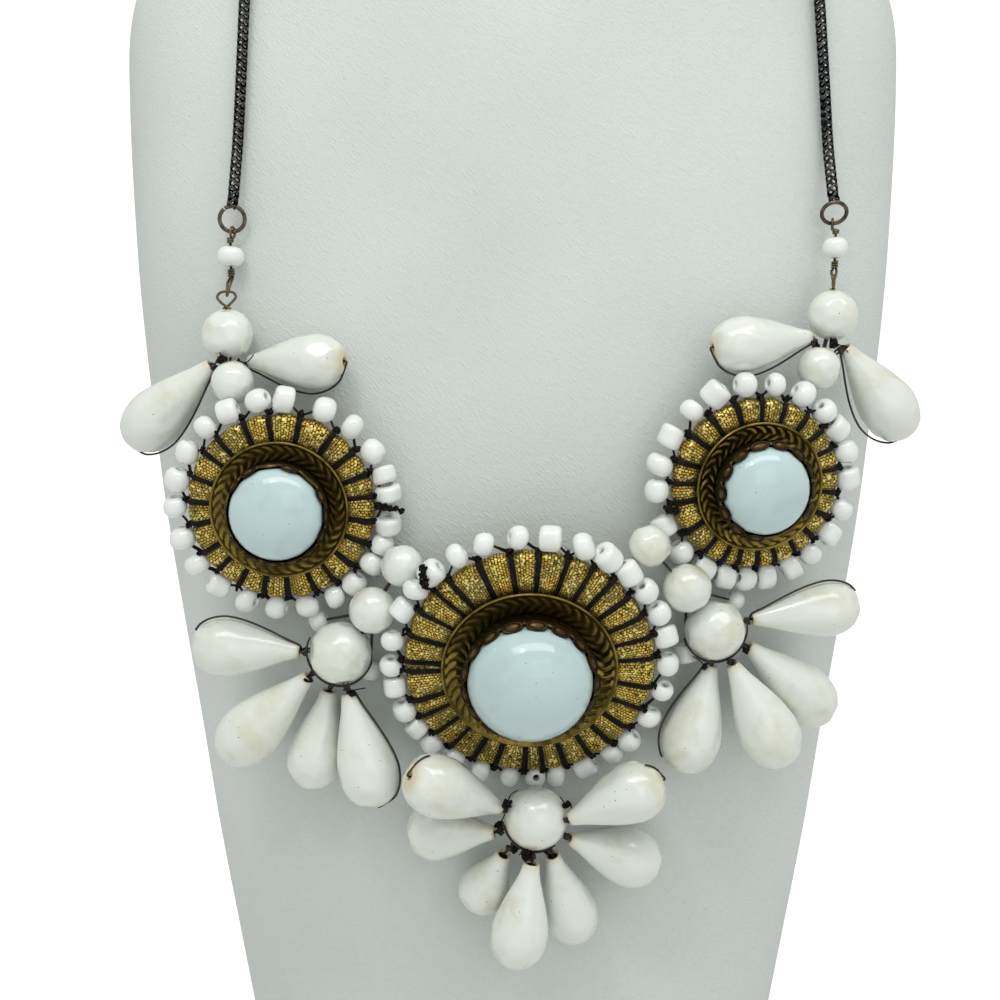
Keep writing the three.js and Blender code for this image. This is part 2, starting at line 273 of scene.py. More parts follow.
sizes = bust_sizes(lift)
sizes[lift < FOOT_ROUND] -= (FOOT_ROUND - np.sqrt(
    np.maximum(FOOT_ROUND ** 2 - (FOOT_ROUND - lift[lift < FOOT_ROUND]) ** 2, 0)))[:, None]
sizes[:, 0] *= WALL_SLIM
wall = bust_ring(sizes, SKIN_COLUMNS)
skin = np.concatenate([wall, np.broadcast_to(lift[:, None, None], wall.shape[:2] + (1,))], 2)
column = np.arange(SKIN_COLUMNS)
from_seam = np.minimum(column, SKIN_COLUMNS - column)
across = np.abs(skin[:, :, 0])
valley = np.where(from_seam[None] < SEAM_REACH, np.exp(-(across / SEAM_WIDTH) ** 2), 0)
skin[:, :, 1] -= SEAM_DEPTH * valley
top = skin[-1]
top_rows = [top * [k, k, 0] + [0, 0, BUST_HEIGHT + 0.25 * (1 - k)]
            for k in (0.985, 0.93, 0.8, 0.6, 0.35, 0.1)]
foot = skin[0]
foot_rows = [foot * [k, k, 0] + [0, 0, FOOT_HOLLOW if k < 0.87 else 0]
             for k in (0.02, 0.3, 0.6, 0.86, 0.875, 0.93, 0.97)]
body = np.concatenate([np.array(foot_rows), skin, np.array(top_rows)])

leatherette, tree, shader = blank_finish("white_leatherette")
place = add_node(tree, "TexCoord")
tone = add_node(tree, "TexNoise", {"Vector": place.outputs["Object"], "Scale": 14, "Detail": 2,
    "Roughness": 0.6})
tone_ramp = add_node(tree, "ValToRGB", {"Fac": tone.outputs["Fac"]})
tone_ramp.color_ramp.elements[0].color = srgb(212, 219, 213)
tone_ramp.color_ramp.elements[1].color = srgb(224, 230, 225)
tone_ramp.color_ramp.elements[0].position = 0.35
tone_ramp.color_ramp.elements[1].position = 0.7
diagonal = add_node(tree, "Mapping", {"Vector": place.outputs["Object"],
    "Rotation": (0, math.radians(-45), 0)})
lean = add_node(tree, "Mapping", {"Vector": diagonal.outputs["Vector"], "Scale": (0.5, 1.0, 1.7)})
crease = add_node(tree, "TexNoise", {"Vector": lean.outputs["Vector"], "Scale": 1250, "Detail": 2,
    "Roughness": 0.6})
level = add_node(tree, "Math", {0: crease.outputs["Fac"], 1: 0.5}, operation="SUBTRACT")
grain = add_node(tree, "Math", {0: level.outputs["Value"]}, operation="ABSOLUTE")
press = add_node(tree, "Bump", {"Height": grain.outputs["Value"], "Strength": 0.8,
    "Distance": 0.0004})
fill(tree, shader, {"Base Color": tone_ramp.outputs["Color"], "Normal": press.outputs["Normal"],
    "Roughness": 0.5, "Specular IOR Level": 0.35})

bust = make_piece("leatherette_bust",
                  [(body, sheet_faces(len(body), SKIN_COLUMNS),
                    *end_caps(len(body), SKIN_COLUMNS))], leatherette)
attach(bust, "root")
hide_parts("bust")

# ---------------------------------------------------------------------------
# White stones: teardrops and round beads in polished off-white stone, ground by
# hand, so they carry shallow flats. Each is drilled through, end to end.
DRILL = 0.62
STAIN_REACH = 0.09
DROP_COLUMNS = 48
ROUND_COLUMNS = 56
chance = np.random.default_rng(7)


def clouds_and_specks():
    """Shader group: soft cloudy stains and sparse dark specks, as masks from 0 to 1."""
    group = bpy.data.node_groups.new("clouds_and_specks", "ShaderNodeTree")
    sockets = group.interface.new_socket
    for name, value in (("Cloud Scale", 120.0), ("Cloud Amount", 0.5), ("Speck Scale", 700.0),
                        ("Speck Amount", 0.1)):
        socket = sockets(name, in_out="INPUT", socket_type="NodeSocketFloat")
        socket.default_value = value
    sockets("Clouds", in_out="OUTPUT", socket_type="NodeSocketFloat")
    sockets("Specks", in_out="OUTPUT", socket_type="NodeSocketFloat")
    start = group.nodes.new("NodeGroupInput")
    end = group.nodes.new("NodeGroupOutput")
    place = add_node(group, "TexCoord")
    cloud = add_node(group, "TexNoise", {"Vector": place.outputs["Object"],
        "Scale": start.outputs["Cloud Scale"], "Detail": 3, "Roughness": 0.62, "Distortion": 0.6})
    lift_cloud = add_node(group, "MapRange", {"Value": cloud.outputs["Fac"], "From Min": 0.46,
        "From Max": 0.76}, interpolation_type="SMOOTHSTEP")
    share = add_node(group, "Math", {0: lift_cloud.outputs["Result"],
        1: start.outputs["Cloud Amount"]}, operation="MULTIPLY", use_clamp=True)
    cells = add_node(group, "TexVoronoi", {"Vector": place.outputs["Object"],
        "Scale": start.outputs["Speck Scale"]}, feature="F1")
    near = add_node(group, "MapRange", {"Value": cells.outputs["Distance"], "From Min": 0.05,
        "From Max": 0.16, "To Min": 1.0, "To Max": 0.0})
    pick = add_node(group, "SeparateColor", {"Color": cells.outputs["Color"]})
    chosen = add_node(group, "Math", {0: pick.outputs["Red"], 1: start.outputs["Speck Amount"]},
        operation="LESS_THAN")
    speck = add_node(group, "Math", {0: near.outputs["Result"], 1: chosen.outputs["Value"]},
        operation="MULTIPLY", use_clamp=True)
    fill(group, end, {"Clouds": share.outputs["Value"], "Specks": speck.outputs["Value"]})
    return group


stain_group = clouds_and_specks()


def stained_white(name, clean, stained, speck, values, tip=None):
    """A white body colour with cloudy stains, specks and, on request, darker drilled ends."""
    finish, tree, shader = blank_finish(name)
    marks = add_node(tree, "Group", values, node_tree=stain_group)
    tint = add_node(tree, "Mix", {"A": clean, "B": stained, "Factor": marks.outputs["Clouds"]},
        data_type="RGBA")
    colour = tint.outputs["Result"]
    if tip:
        worn = add_node(tree, "Attribute", attribute_name="drilled_end")
        brown = add_node(tree, "Mix", {"B": tip, "Factor": worn.outputs["Fac"], "A": colour},
            data_type="RGBA")
        colour = brown.outputs["Result"]
    dots = add_node(tree, "Mix", {"B": speck, "Factor": marks.outputs["Specks"], "A": colour},
        data_type="RGBA")
    fill(tree, shader, {"Base Color": dots.outputs["Result"]})
    return finish, tree, shader


stone, tree, shader = stained_white(
    "polished_white_stone", srgb(235, 241, 230), srgb(215, 211, 180), srgb(84, 72, 58),
    {"Cloud Scale": 120, "Cloud Amount": 0.66, "Speck Scale": 1000, "Speck Amount": 0.08},
    tip=srgb(212, 197, 158))
fill(tree, shader, {"Roughness": 0.24, "Coat Weight": 1.0, "Coat Roughness": 0.05})


def grind_flats(points, directions, cuts):
    """Presses each direction's farthest part back to a flat."""
    for way, cut in zip(directions, cuts):
        reach = points @ way
        over = np.maximum(reach - (reach.max() - cut), 0)
        points -= over[:, None] * way
    return points


def drilled_body(profile, mouth, columns, directions, cuts):
    """Turned body with a drilled hole along +Z. Returns points, faces and each point's
    closeness to a drilled end."""
    outer = smooth_line(profile, 54)
    low, high = outer[0], outer[-1]
    bore = np.array([[DRILL, high[1] - 0.12], [DRILL * 0.96, high[1] * 0.66 + low[1] * 0.34],
                     [DRILL * 0.96, high[1] * 0.34 + low[1] * 0.66], [mouth, low[1] + 0.12]])
    rows = np.concatenate([outer, bore])
    points = turned_rows(rows, columns)
    skin = points[:len(outer)].reshape(-1, 3).copy()
    height = skin[:, 2].copy()
    skin = grind_flats(skin, directions, cuts)
    points[:len(outer)] = skin.reshape(len(outer), columns, 3)
    near = np.minimum(height - low[1], (high[1] - height) * 1.6) / (high[1] - low[1])
    worn = np.concatenate([np.clip(1 - near / STAIN_REACH, 0, 1) ** 2 * 0.75,
                           np.ones(len(bore) * columns)])
    return points.reshape(-1, 3), sheet_faces(len(rows), columns, close_rows=True), worn


def unit(way):
    """A direction, or each row of several, made one long."""
    return way / np.linalg.norm(way, axis=-1, keepdims=True)


def scattered_ways(count, lowest=-1.0, highest=1.0, spread=0.2):
    """Unit vectors spread evenly over a band of a sphere, each a little off."""
    k = np.arange(count) + 0.5
    z = lowest + (highest - lowest) * k / count
    a = k * 2.39996 + chance.uniform(0, 6)
    ways = np.stack([np.sqrt(1 - z * z) * np.cos(a), np.sqrt(1 - z * z) * np.sin(a), z], 1)
    ways += chance.normal(0, spread, ways.shape)
    return unit(ways)


def lay_along(points, start, way):
    """Turns +Z onto a direction and moves the origin to a place."""
    turn = np.array(Vector(way).to_track_quat("Z", "Y").to_matrix())
    return points @ turn.T + np.asarray(start)


def mark(piece, name, values):
    """Stores one value for each point of a piece, for its finish to read."""
    field = piece.data.attributes.new(name, "FLOAT", "POINT")
    field.data.foreach_set("value", np.asarray(values, float).ravel())


def node_box(name):
    """Low and high corner of a CAD node, in mm."""
    return [np.array(corner) * 1000 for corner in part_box(name)]


def drop_line(name):
    """Point, direction, length and half-width of a CAD teardrop."""
    spots = node_points(name)
    middle = spots.mean(0)
    way = np.linalg.svd(spots - middle)[2][0]
    run = (spots - middle) @ way
    off = np.linalg.norm(spots - middle - run[:, None] * way, axis=1)
    wide = run[np.argmax(off)]
    if run.max() - wide > wide - run.min():
        way, run = -way, -run
    start = middle + run.min() * way
    side = spots - start
    side -= (side @ way)[:, None] * way
    return start, way, run.max() - run.min(), np.linalg.norm(side, axis=1).max()


# Teardrop outline: radius as a share of the half-width, height as a share of the length.
DROP_OUTLINE = [(0.145, 0.004), (0.2, 0.0), (0.245, 0.03), (0.36, 0.13), (0.55, 0.26),
                (0.735, 0.39), (0.89, 0.52), (0.975, 0.62), (1.0, 0.69), (0.965, 0.78),
                (0.86, 0.865), (0.68, 0.935), (0.44, 0.98), (0.2, 0.999), (0.13, 0.99)]
WIDE_DRILLED = ("drop_left_3", "drop_bottom_3", "drop_bottom_4", "drop_bottom_5")
WIDE_MOUTH = 1.0
MOUTH_FLARE = 0.1
DROPS = sorted(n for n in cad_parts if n.startswith("drop_"))
drop_lines = {}
for name in DROPS:
    start, way, length, half = drop_line(name)
    drop_lines[name] = (start, way, length, half)
    mouth = WIDE_MOUTH if name in WIDE_DRILLED else DRILL
    outline = [(r * half + (mouth - DRILL) * math.exp(-s / MOUTH_FLARE), s * length)
               for r, s in DROP_OUTLINE]
    flats = np.concatenate([scattered_ways(11, 0.25, 0.95, 0.12),
                            scattered_ways(9, -0.35, 0.1, 0.06)])
    cuts = np.concatenate([chance.uniform(0.08, 0.34, 11), chance.uniform(0.05, 0.24, 9)])
    points, faces, worn = drilled_body(outline, mouth, DROP_COLUMNS, flats, cuts)
    points[:, :2] = points[:, :2] @ np.array(Matrix.Rotation(chance.uniform(0, 6), 2))
    drop = make_piece("stone_" + name, [(lay_along(points, start, way), faces)], stone)
    mark(drop, "drilled_end", worn)
    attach(drop, "root")
    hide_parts(name)

ROUNDS = [
    # round bead, direction of its drilled hole, how deep its ground flats are
    ("round_left_1", (0.05, 0.1, 1), 0.06), ("round_left_2", (0.1, 0, 1), 0.03),
    ("round_left_3", (0.8, -0.1, -0.5), 0.02), ("round_left_4", (0.6, 0, -0.8), 0.025),
    ("hub_left", (0.7, 0.3, 0.6), 0.05), ("round_right_1", (0, 0.1, 1), 0.035),
    ("round_right_2", (0.1, 0, 1), 0.03), ("round_right_3", (-0.8, -0.1, -0.5), 0.045),
    ("round_right_4", (-0.6, 0.1, -0.8), 0.03), ("hub_right", (-0.7, 0.2, 0.6), 0.04),
    ("hub_bottom", (0.15, 0.5, 0.9), 0.02),
]
for name, hole, flat in ROUNDS:
    low, high = node_box(name)
    radius = (high - low).max() / 2
    start_angle = math.asin((DRILL + 0.08) / radius)
    around = np.linspace(start_angle, math.pi - start_angle, 40)
    circle = [(radius * math.sin(a), -radius * math.cos(a)) for a in around]
    flats = scattered_ways(26)
    cuts = chance.uniform(0.4, 1.3, 26) * flat * radius
    points, faces, worn = drilled_body(circle, DRILL, ROUND_COLUMNS, flats, cuts)
    bead = make_piece("stone_" + name, [(lay_along(points, (low + high) / 2, hole), faces)], stone)
    mark(bead, "drilled_end", worn)
    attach(bead, "root")
    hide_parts(name)

# ---------------------------------------------------------------------------
# Small white glass beads: fire-rounded slices of glass cane, no two alike. One sits
# in each wire link, and a few space out the clusters.
milk_glass, tree, shader = stained_white(
    "milk_glass", srgb(243, 248, 243), srgb(222, 221, 208), srgb(120, 110, 95),
    {"Cloud Scale": 160, "Cloud Amount": 0.35, "Speck Scale": 500, "Speck Amount": 0.015})
fill(tree, shader, {"Roughness": 0.14, "Coat Weight": 0.8, "Coat Roughness": 0.05})


def glass_bead(radius, half_length, hole, square, columns=28, rows=12):
    """A bead on +Z, rounded like a barrel or, if square, with nearly straight sides."""
    along = np.linspace(-1, 1, rows)
    fall = 0.16 if square else 0.32
    line = [(radius * (1 - fall * abs(t) ** (5 if square else 2.6)), half_length * 0.86 * t)
            for t in along]
    mouth = [(hole + 0.42, 0.985), (hole + 0.12, 0.95), (hole, 0.7)]
    line += [(r, half_length * h) for r, h in mouth]
    line += [(r, -half_length * h) for r, h in reversed(mouth)]
    line = np.array(line)
    points = turned_rows(line, columns)
    around = full_turn(columns)
    wobble = 1 + chance.uniform(0.0, 0.035) * np.cos(2 * around + chance.uniform(0, 6))
    points[:, :, :2] *= wobble[None, :, None]
    slope = chance.normal(0, 0.05, 2)
    points[:, :, 2] += points[:, :, 0] * slope[0] + points[:, :, 1] * slope[1]
    return points.reshape(-1, 3), sheet_faces(len(line), columns, close_rows=True)


SINGLE_HOLE = 0.55
SINGLES = [
    # name, axis, radius, half length, whether straight-sided
    ("link_bead_left", (0.05, 0.1, 1), 2.45, 1.85, False),
    ("link_bead_right", (0, 0.1, 1), 2.4, 1.95, False),
    ("spacer_left_1", (0.8, -0.1, 0.5), 2.05, 1.75, False),
    ("spacer_left_2", (0.3, 0.1, 0.9), 2.05, 1.7, False),
    ("spacer_right_1", (0.8, 0, -0.6), 2.05, 1.6, False),
    ("spacer_right_2", (-0.2, 0.1, 0.9), 2.05, 1.8, True),
]
for name, axis, radius, half_length, square in SINGLES:
    low, high = node_box(name)
    points, faces = glass_bead(radius, half_length, SINGLE_HOLE, square)
    bead = make_piece("glass_" + name, [(lay_along(points, (low + high) / 2, axis), faces)],
                      milk_glass)
    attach(bead, "root")
    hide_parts(name)

# ---------------------------------------------------------------------------
# Chain: foxtail links, each a wire loop folded in half and hooked through the two
# before it, darkened to gunmetal. The last links close on the jump rings and clasp.
LINK_PITCH = 1.36
LINK_WIRE = 0.22


def node_frame(name):
    """Middle, widest, second and narrowest direction of a CAD node."""
    spots = node_points(name)
    middle = spots.mean(0)
    ways = np.linalg.svd(spots - middle)[2]
    run = (spots - middle) @ ways.T
    centre = middle + ((run.max(0) + run.min(0)) / 2) @ ways
    return centre, ways, run.max(0) - run.min(0)


def tarnish():
    """Shader group: patchy darkening of old metal. Gives a mask, a roughness and a height."""
    group = bpy.data.node_groups.new("tarnish", "ShaderNodeTree")
    for name, value in (("Patch Scale", 300.0), ("Amount", 0.5), ("Smooth", 0.25), ("Dull", 0.6)):
        socket = group.interface.new_socket(name, in_out="INPUT", socket_type="NodeSocketFloat")
        socket.default_value = value
    for name in ("Mask", "Roughness", "Height"):
        group.interface.new_socket(name, in_out="OUTPUT", socket_type="NodeSocketFloat")
    start = group.nodes.new("NodeGroupInput")
    end = group.nodes.new("NodeGroupOutput")
    place = add_node(group, "TexCoord")
    patches = add_node(group, "TexNoise", {"Vector": place.outputs["Object"],
        "Scale": start.outputs["Patch Scale"], "Detail": 3, "Roughness": 0.65})
    spread = add_node(group, "MapRange", {"Value": patches.outputs["Fac"], "From Min": 0.38,
        "From Max": 0.62})
    mask = add_node(group, "Math", {0: spread.outputs["Result"], 1: start.outputs["Amount"]},
        operation="MULTIPLY", use_clamp=True)
    rough = add_node(group, "Mix", {"Factor": mask.outputs["Value"], "A": start.outputs["Smooth"],
        "B": start.outputs["Dull"]}, data_type="FLOAT")
    pits = add_node(group, "TexNoise", {"Vector": place.outputs["Object"], "Scale": 5200,
        "Detail": 1})
    fill(group, end, {"Mask": mask.outputs["Value"], "Roughness": rough.outputs["Result"],
        "Height": pits.outputs["Fac"]})
    return group


tarnish_group = tarnish()


def old_metal(name, bright, dark, values, relief=None):
    """Metal, bright where rubbed, dark where tarnished; relief darkens recesses as patina and
    painted shade.
    """
    finish, tree, shader = blank_finish(name)
    age = add_node(tree, "Group", values, node_tree=tarnish_group)
    tint = add_node(tree, "Mix", {"A": bright, "B": dark, "Factor": age.outputs["Mask"]},
        data_type="RGBA")
    colour = tint.outputs["Result"]
    # The relief mark mixes towards near black: patina in real hollows, painted shade elsewhere.
    if relief:
        hollow = add_node(tree, "Attribute", attribute_name=relief)
        patina_and_shade = add_node(tree, "Mix", {"B": [v * 0.2 for v in dark[:3]] + [1],
            "Factor": hollow.outputs["Fac"], "A": colour}, data_type="RGBA")
        colour = patina_and_shade.outputs["Result"]
    pitted = add_node(tree, "Bump", {"Height": age.outputs["Height"], "Strength": 0.2,
        "Distance": 0.00004})
    fill(tree, shader, {"Base Color": colour, "Roughness": age.outputs["Roughness"],
        "Normal": pitted.outputs["Normal"], "Metallic": 1.0})
    return finish


gunmetal = old_metal("gunmetal", srgb(122, 122, 121), srgb(16, 16, 17),
                     {"Patch Scale": 900, "Amount": 0.9, "Smooth": 0.2, "Dull": 0.38},
                     relief="hollow")


def strand(line, radius, sides=6, closed=False):
    """A round wire along a line of points: its points and faces, ends capped."""
    line = np.asarray(line, float)
    n = len(line)
    ahead = np.roll(line, -1, 0) - np.roll(line, 1, 0)
    if not closed:
        ahead[0], ahead[-1] = line[1] - line[0], line[-1] - line[-2]
    ahead /= np.linalg.norm(ahead, axis=1)[:, None] + 1e-12
    across = np.empty_like(line)
    across[0] = unit(np.cross(ahead[0], (0.1, 0.2, 1) if abs(ahead[0][2]) < 0.9 else (1, 0.1, 0)))
    for i in range(1, n):
        side = across[i - 1] - ahead[i] * (across[i - 1] @ ahead[i])
        across[i] = side / (np.linalg.norm(side) + 1e-12)
    other = np.cross(ahead, across)
    radii = np.broadcast_to(np.asarray(radius, float), (n,))
    a = full_turn(sides)
    points = (line[:, None] + radii[:, None, None] * (np.cos(a)[None, :, None] * across[:, None]
              + np.sin(a)[None, :, None] * other[:, None]))
    faces = sheet_faces(n, sides, close_rows=closed)
    if closed:
        return points.reshape(-1, 3), faces
    return points.reshape(-1, 3), faces, *end_caps(n, sides)


def tube_middle(name, start_near):
    """The middle line of a CAD tube, from the end nearest to a place."""
    spots = node_points(name)
    here = np.asarray(start_near, float)
    line = []
    while len(spots):
        first = spots[np.argmin(np.linalg.norm(spots - here, axis=1))]
        ring = np.linalg.norm(spots - first, axis=1) < 2.3
        here = spots[ring].mean(0)
        line.append(here)
        spots = spots[~ring]
    return np.array(line)


def folded_link(turn):
    """One loop of wire folded in half to a V, turned about the chain's line."""
    a = full_turn(14)
    x = 0.86 * np.sin(a)
    y = 0.84 * np.cos(a)
    z = 1.15 * np.abs(np.sin(a)) ** 1.15
    c, s = math.cos(turn), math.sin(turn)
    return np.stack([c * x - s * y, s * x + c * y, z], 1)


ring_places = {}
for side in ("left", "right"):
    ring_places[side] = node_frame("jump_ring_" + side)
    centre = ring_places[side][0]
    line = smooth_line(tube_middle("chain_" + side, centre), 1600)
    run = run_along(line)
    near_ring = centre + np.array([0, 0, 2.15])
    lead = np.linalg.norm(line[0] - near_ring)
    count = int((run[-1] + lead) / LINK_PITCH)
    parts, marks = [], []
    across = np.array([1.0, 0, 0])
    for k in range(count):
        s = k * LINK_PITCH - lead
        if s < 0:
            way = (line[0] - near_ring) / (lead + 1e-9)
            spot = line[0] + way * s
        else:
            spot = np.array([np.interp(s, run, line[:, i]) for i in range(3)])
            j = min(int(s / run[-1] * (len(line) - 1)), len(line) - 3)
            way = unit(line[j + 2] - line[j])
        across = unit(across - way * (across @ way))
        basis = np.stack([across, np.cross(way, across), way], 1)
        for half, turn in ((0, math.pi / 4), (0.5, -math.pi / 4)):
            loop = folded_link(turn) + [0, 0, (half - 0.2) * LINK_PITCH]
            wire, faces = strand(loop @ basis.T + spot, LINK_WIRE, closed=True)
            parts.append((wire, faces))
            # Painted shade: wire near the chain's middle line, where the links crowd, is darkened
            # to near black so the gaps read dark.
            off_line = wire - spot
            off_line = np.linalg.norm(off_line - (off_line @ way)[:, None] * way, axis=1)
            marks.append(np.clip((1.09 - off_line) / 0.17, 0, 1))
    chain = make_piece("foxtail_chain_" + side, parts, gunmetal)
    mark(chain, "hollow", np.concatenate(marks))
    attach(chain, "root")
    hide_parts("chain_" + side)

# ---------------------------------------------------------------------------
# Clasp: a small turned barrel behind the neck, with a soldered loop at each end for
# the chain. It is plated like the chain.
CLASP_LOOP = 2.2
CLASP_COLUMNS = 40
low, high = node_box("clasp")
middle = (low + high) / 2
half = (high[0] - low[0]) / 2 - CLASP_LOOP
barrel_line = [(0.02, -half), (0.9, -half), (1.25, -half + 0.15), (1.3, -half + 0.6),
               (1.85, -half + 1.0), (2.05, -half + 1.5), (2.05, -0.5), (1.85, -0.35), (1.85, -0.1),
               (2.05, 0.05), (2.05, half - 1.5), (1.85, half - 1.0), (1.3, half - 0.6),
               (1.25, half - 0.15), (0.9, half), (0.02, half)]
barrel = turned_rows(barrel_line, CLASP_COLUMNS).reshape(-1, 3)[:, [2, 0, 1]] + middle
parts = [(barrel, sheet_faces(len(barrel_line), CLASP_COLUMNS),
          *end_caps(len(barrel_line), CLASP_COLUMNS))]
marks = [np.repeat([min(1.0, 0.45 + (2.05 - r) * 1.5) for r, _ in barrel_line], CLASP_COLUMNS)]
for d in (-1, 1):
    a = full_turn(28)
    loop = np.stack([0.95 * np.cos(a) + d * (half + 0.9), 0.95 * np.sin(a), 0 * a], 1) + middle
    wire = strand(loop, 0.34, 10, closed=True)
    parts.append(wire)
    marks.append(np.full(len(wire[0]), 0.5))
clasp = make_piece("barrel_clasp", parts, gunmetal)
mark(clasp, "hollow", np.concatenate(marks))
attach(clasp, "root")
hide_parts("clasp")

# ---------------------------------------------------------------------------
# Jump rings: round brass wire bent to a ring with a butt joint and darkened. Each
# joins its chain's end link to the upper eye of the wire link.
ring_brass = old_metal("dark_ring_brass", srgb(118, 108, 94), srgb(56, 50, 42),
                       {"Patch Scale": 500, "Amount": 0.7, "Smooth": 0.25, "Dull": 0.5})
RING_WIRE_R = 0.38
for side, (centre, ways, reach) in ring_places.items():
    radius = reach[0] / 2 - RING_WIRE_R
    a = np.linspace(0.05, 2 * math.pi - 0.05, 72) + 2.2
    hoop = centre + radius * (np.cos(a)[:, None] * ways[0] + np.sin(a)[:, None] * ways[1])
    ring = make_piece("wire_jump_ring_" + side, [strand(hoop, RING_WIRE_R, 14)], ring_brass)
    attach(ring, "root")
    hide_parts("jump_ring_" + side)

# ---------------------------------------------------------------------------
# Wire links: soft brass wire bent to an eye round the jump ring, wrapped on itself,
# through a small bead, wrapped again, and looped into the eye of the first round bead.
link_brass = old_metal("aged_wire_brass", srgb(136, 124, 96), srgb(62, 54, 38),
                       {"Patch Scale": 450, "Amount": 0.6, "Smooth": 0.25, "Dull": 0.45})
LINK_WIRE_R = 0.25
WRAP_WIRE_R = 0.85 * LINK_WIRE_R


def coil(start, end, turns, radius):
    """A wrapped coil of wire between two places."""
    start, end = np.asarray(start, float), np.asarray(end, float)
    way = unit(end - start)
    u = unit(np.cross(way, (0, 1, 0.1)))
    v = np.cross(way, u)
    t = np.linspace(0, 1, int(turns * 16) + 1)
    a = 2 * math.pi * turns * t
    return (start + t[:, None] * (end - start)
            + radius * (np.cos(a)[:, None] * u + np.sin(a)[:, None] * v))


LINKS = {
    # The eye of the first round bead: its outline from the crossing, in mm right and up.
    "left": [(-0.75, 0.0), (-0.1, 0.35), (1.0, 1.35), (1.65, 2.2), (1.25, 2.95), (0.3, 3.2),
             (-0.4, 3.15), (-1.3, 2.85), (-1.75, 2.1), (-1.1, 1.2), (0.15, 0.3), (0.75, 0.05)],
    "right": [(-0.3, -0.1), (0.25, 0.5), (0.5, 1.3), (0.4, 2.2), (0.05, 2.65), (-0.35, 2.2),
              (-0.5, 1.3), (-0.2, 0.5), (0.3, -0.1)],
}
for side, outline in LINKS.items():
    centre, ways, reach = ring_places[side]
    low, high = node_box("link_bead_" + side)
    bead = (low + high) / 2
    half = (high[2] - low[2]) / 2
    low, high = node_box("round_%s_1" % side)
    stone_top = np.array([(low[0] + high[0]) / 2, (low[1] + high[1]) / 2 + 0.4, high[2] + 0.25])
    hoop = ways[0] * ways[0][2] + ways[1] * ways[1][2]
    hook = centre - unit(hoop) * (reach[0] / 2 - RING_WIRE_R)
    top_eye = hook + np.array([0, 0, -0.15])
    a = np.linspace(-0.5 * math.pi + 0.25, 1.5 * math.pi - 0.25, 26)
    neck = bead + [0, 0, half + 0.15]
    eye = top_eye + 0.98 * np.stack([0.25 * np.cos(a), np.cos(a), np.sin(a)], 1)
    upper = np.concatenate([[neck + [0, 0.1, -0.5], neck + [0, 0.1, 0.1]], eye[::-1],
                            [neck + [0, -0.1, 0.3]]])
    foot = bead - [0, 0, half + 0.1]
    eye_low = stone_top
    eye_high = eye_low + [0, 0.2, outline[len(outline) // 2][1]]
    drop_low = eye_high + [0.0, 0.1, -0.75]
    long_loop = [foot - [0, 0, 0.4], foot + [-0.3, 0.25, -1.6],
                 (foot + drop_low) / 2 + [-0.38, 0.5, -0.2], drop_low + [-0.1, 0.5, 0.3],
                 drop_low, drop_low + [0.2, -0.5, 0.35], (foot + drop_low) / 2 + [0.35, -0.5, -0.2],
                 foot + [0.3, -0.25, -1.5], foot - [0, 0, 0.5]]
    eye_line = [eye_low + [x, 0.12 * math.sin(k), z] for k, (x, z) in enumerate(outline)]
    if side == "right":
        eye_line = [eye_low + [x * 0.5, x * 1.3, z] for x, z in outline]
    parts = [strand(smooth_line(line, count), LINK_WIRE_R, 8)
             for line, count in ((upper, 90), (long_loop, 80), (eye_line, 90))]
    parts.append(strand([neck, bead, foot], LINK_WIRE_R, 8))
    for first, last, turns, radius in ((neck + [0, 0, 0.1], neck + [0, 0, 0.85], 2.2, 0.45),
                                       (foot, foot - [0, 0, 1.15], 2.6, 0.47),
                                       (eye_low + [-0.5, 0, -0.1], eye_low + [0.5, 0, -0.1],
                                        1.6, 0.3)):
        parts.append(strand(coil(first, last, turns, radius), WRAP_WIRE_R, 8))
    link = make_piece("wrapped_link_" + side, parts, link_brass)
    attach(link, "root")
    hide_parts("link_wire_" + side)

# ---------------------------------------------------------------------------
# Rosettes: a padded disc wound in gold lurex ribbon, bound down by dark thread between
# each two seed beads. The other pieces of a rosette are set on the same three discs.
ROSETTES = {
    # sink: how far the stone sits below its node (mm). rim, band: widths on the dish (mm).
    # stamp: relief (mm). grime: dark left on the level. lobe: height of a crown lobe (mm).
    # threads: where each binding crosses the ribbon, in degrees round from the right.
    "left": {"sink": 0.0, "rim": 0.7, "band": 2.6, "stamp": 0.15, "grime": 0.22, "chevrons": 35,
             "crown": 15, "lobe": 0.7, "threads": [
        7.5, 21.5, 37.5, 53.5, 76, 95.5, 112, 131, 143, 160.5, 176.5, 191.5, 211, 225, 241, 257,
        273, 290.7, 304.5, 320, 336.5, 351]},
    "centre": {"sink": 1.5, "rim": 0.85, "band": 3.5, "stamp": 0.3, "grime": 0.08, "chevrons": 44,
               "crown": 17, "lobe": 0.98, "threads": [
        4.5, 15.7, 27, 39, 49.8, 60.8, 72.8, 86.3, 99, 114, 129.5, 137.8, 150.3, 163.5, 177.8, 183,
        199.5, 208.3, 219.5, 229.8, 242.5, 253.8, 268, 277, 287.8, 301, 312.8, 324, 336, 348.3]},
    "right": {"sink": 0.0, "rim": 0.7, "band": 2.6, "stamp": 0.3, "grime": 0.22, "chevrons": 34,
              "crown": 14, "lobe": 0.98, "threads": [
        9.5, 24.5, 39, 54, 72, 89, 107, 126, 143.5, 162.5, 177.5, 191.5, 213.5, 233, 248, 259,
        273.5, 286.5, 302.5, 318, 335, 352.5]},
}
DISC_FRONT = 1.3
DISC_BACK = -1.7
RIBBON_PUFF = 1.05
RIBBON_STEP = 0.28


def rosette_place(disc):
    """Middle and (right, up, out) directions of a disc, out being away from the neck."""
    middle, ways, reach = node_frame(disc)
    out = ways[2] if ways[2][1] < 0 else -ways[2]
    up = unit(np.array([0, 0, 1.0]) - out * out[2])
    basis = np.stack([np.cross(up, out), up, out])
    return middle - out * (DISC_FRONT + DISC_BACK) / 2, basis


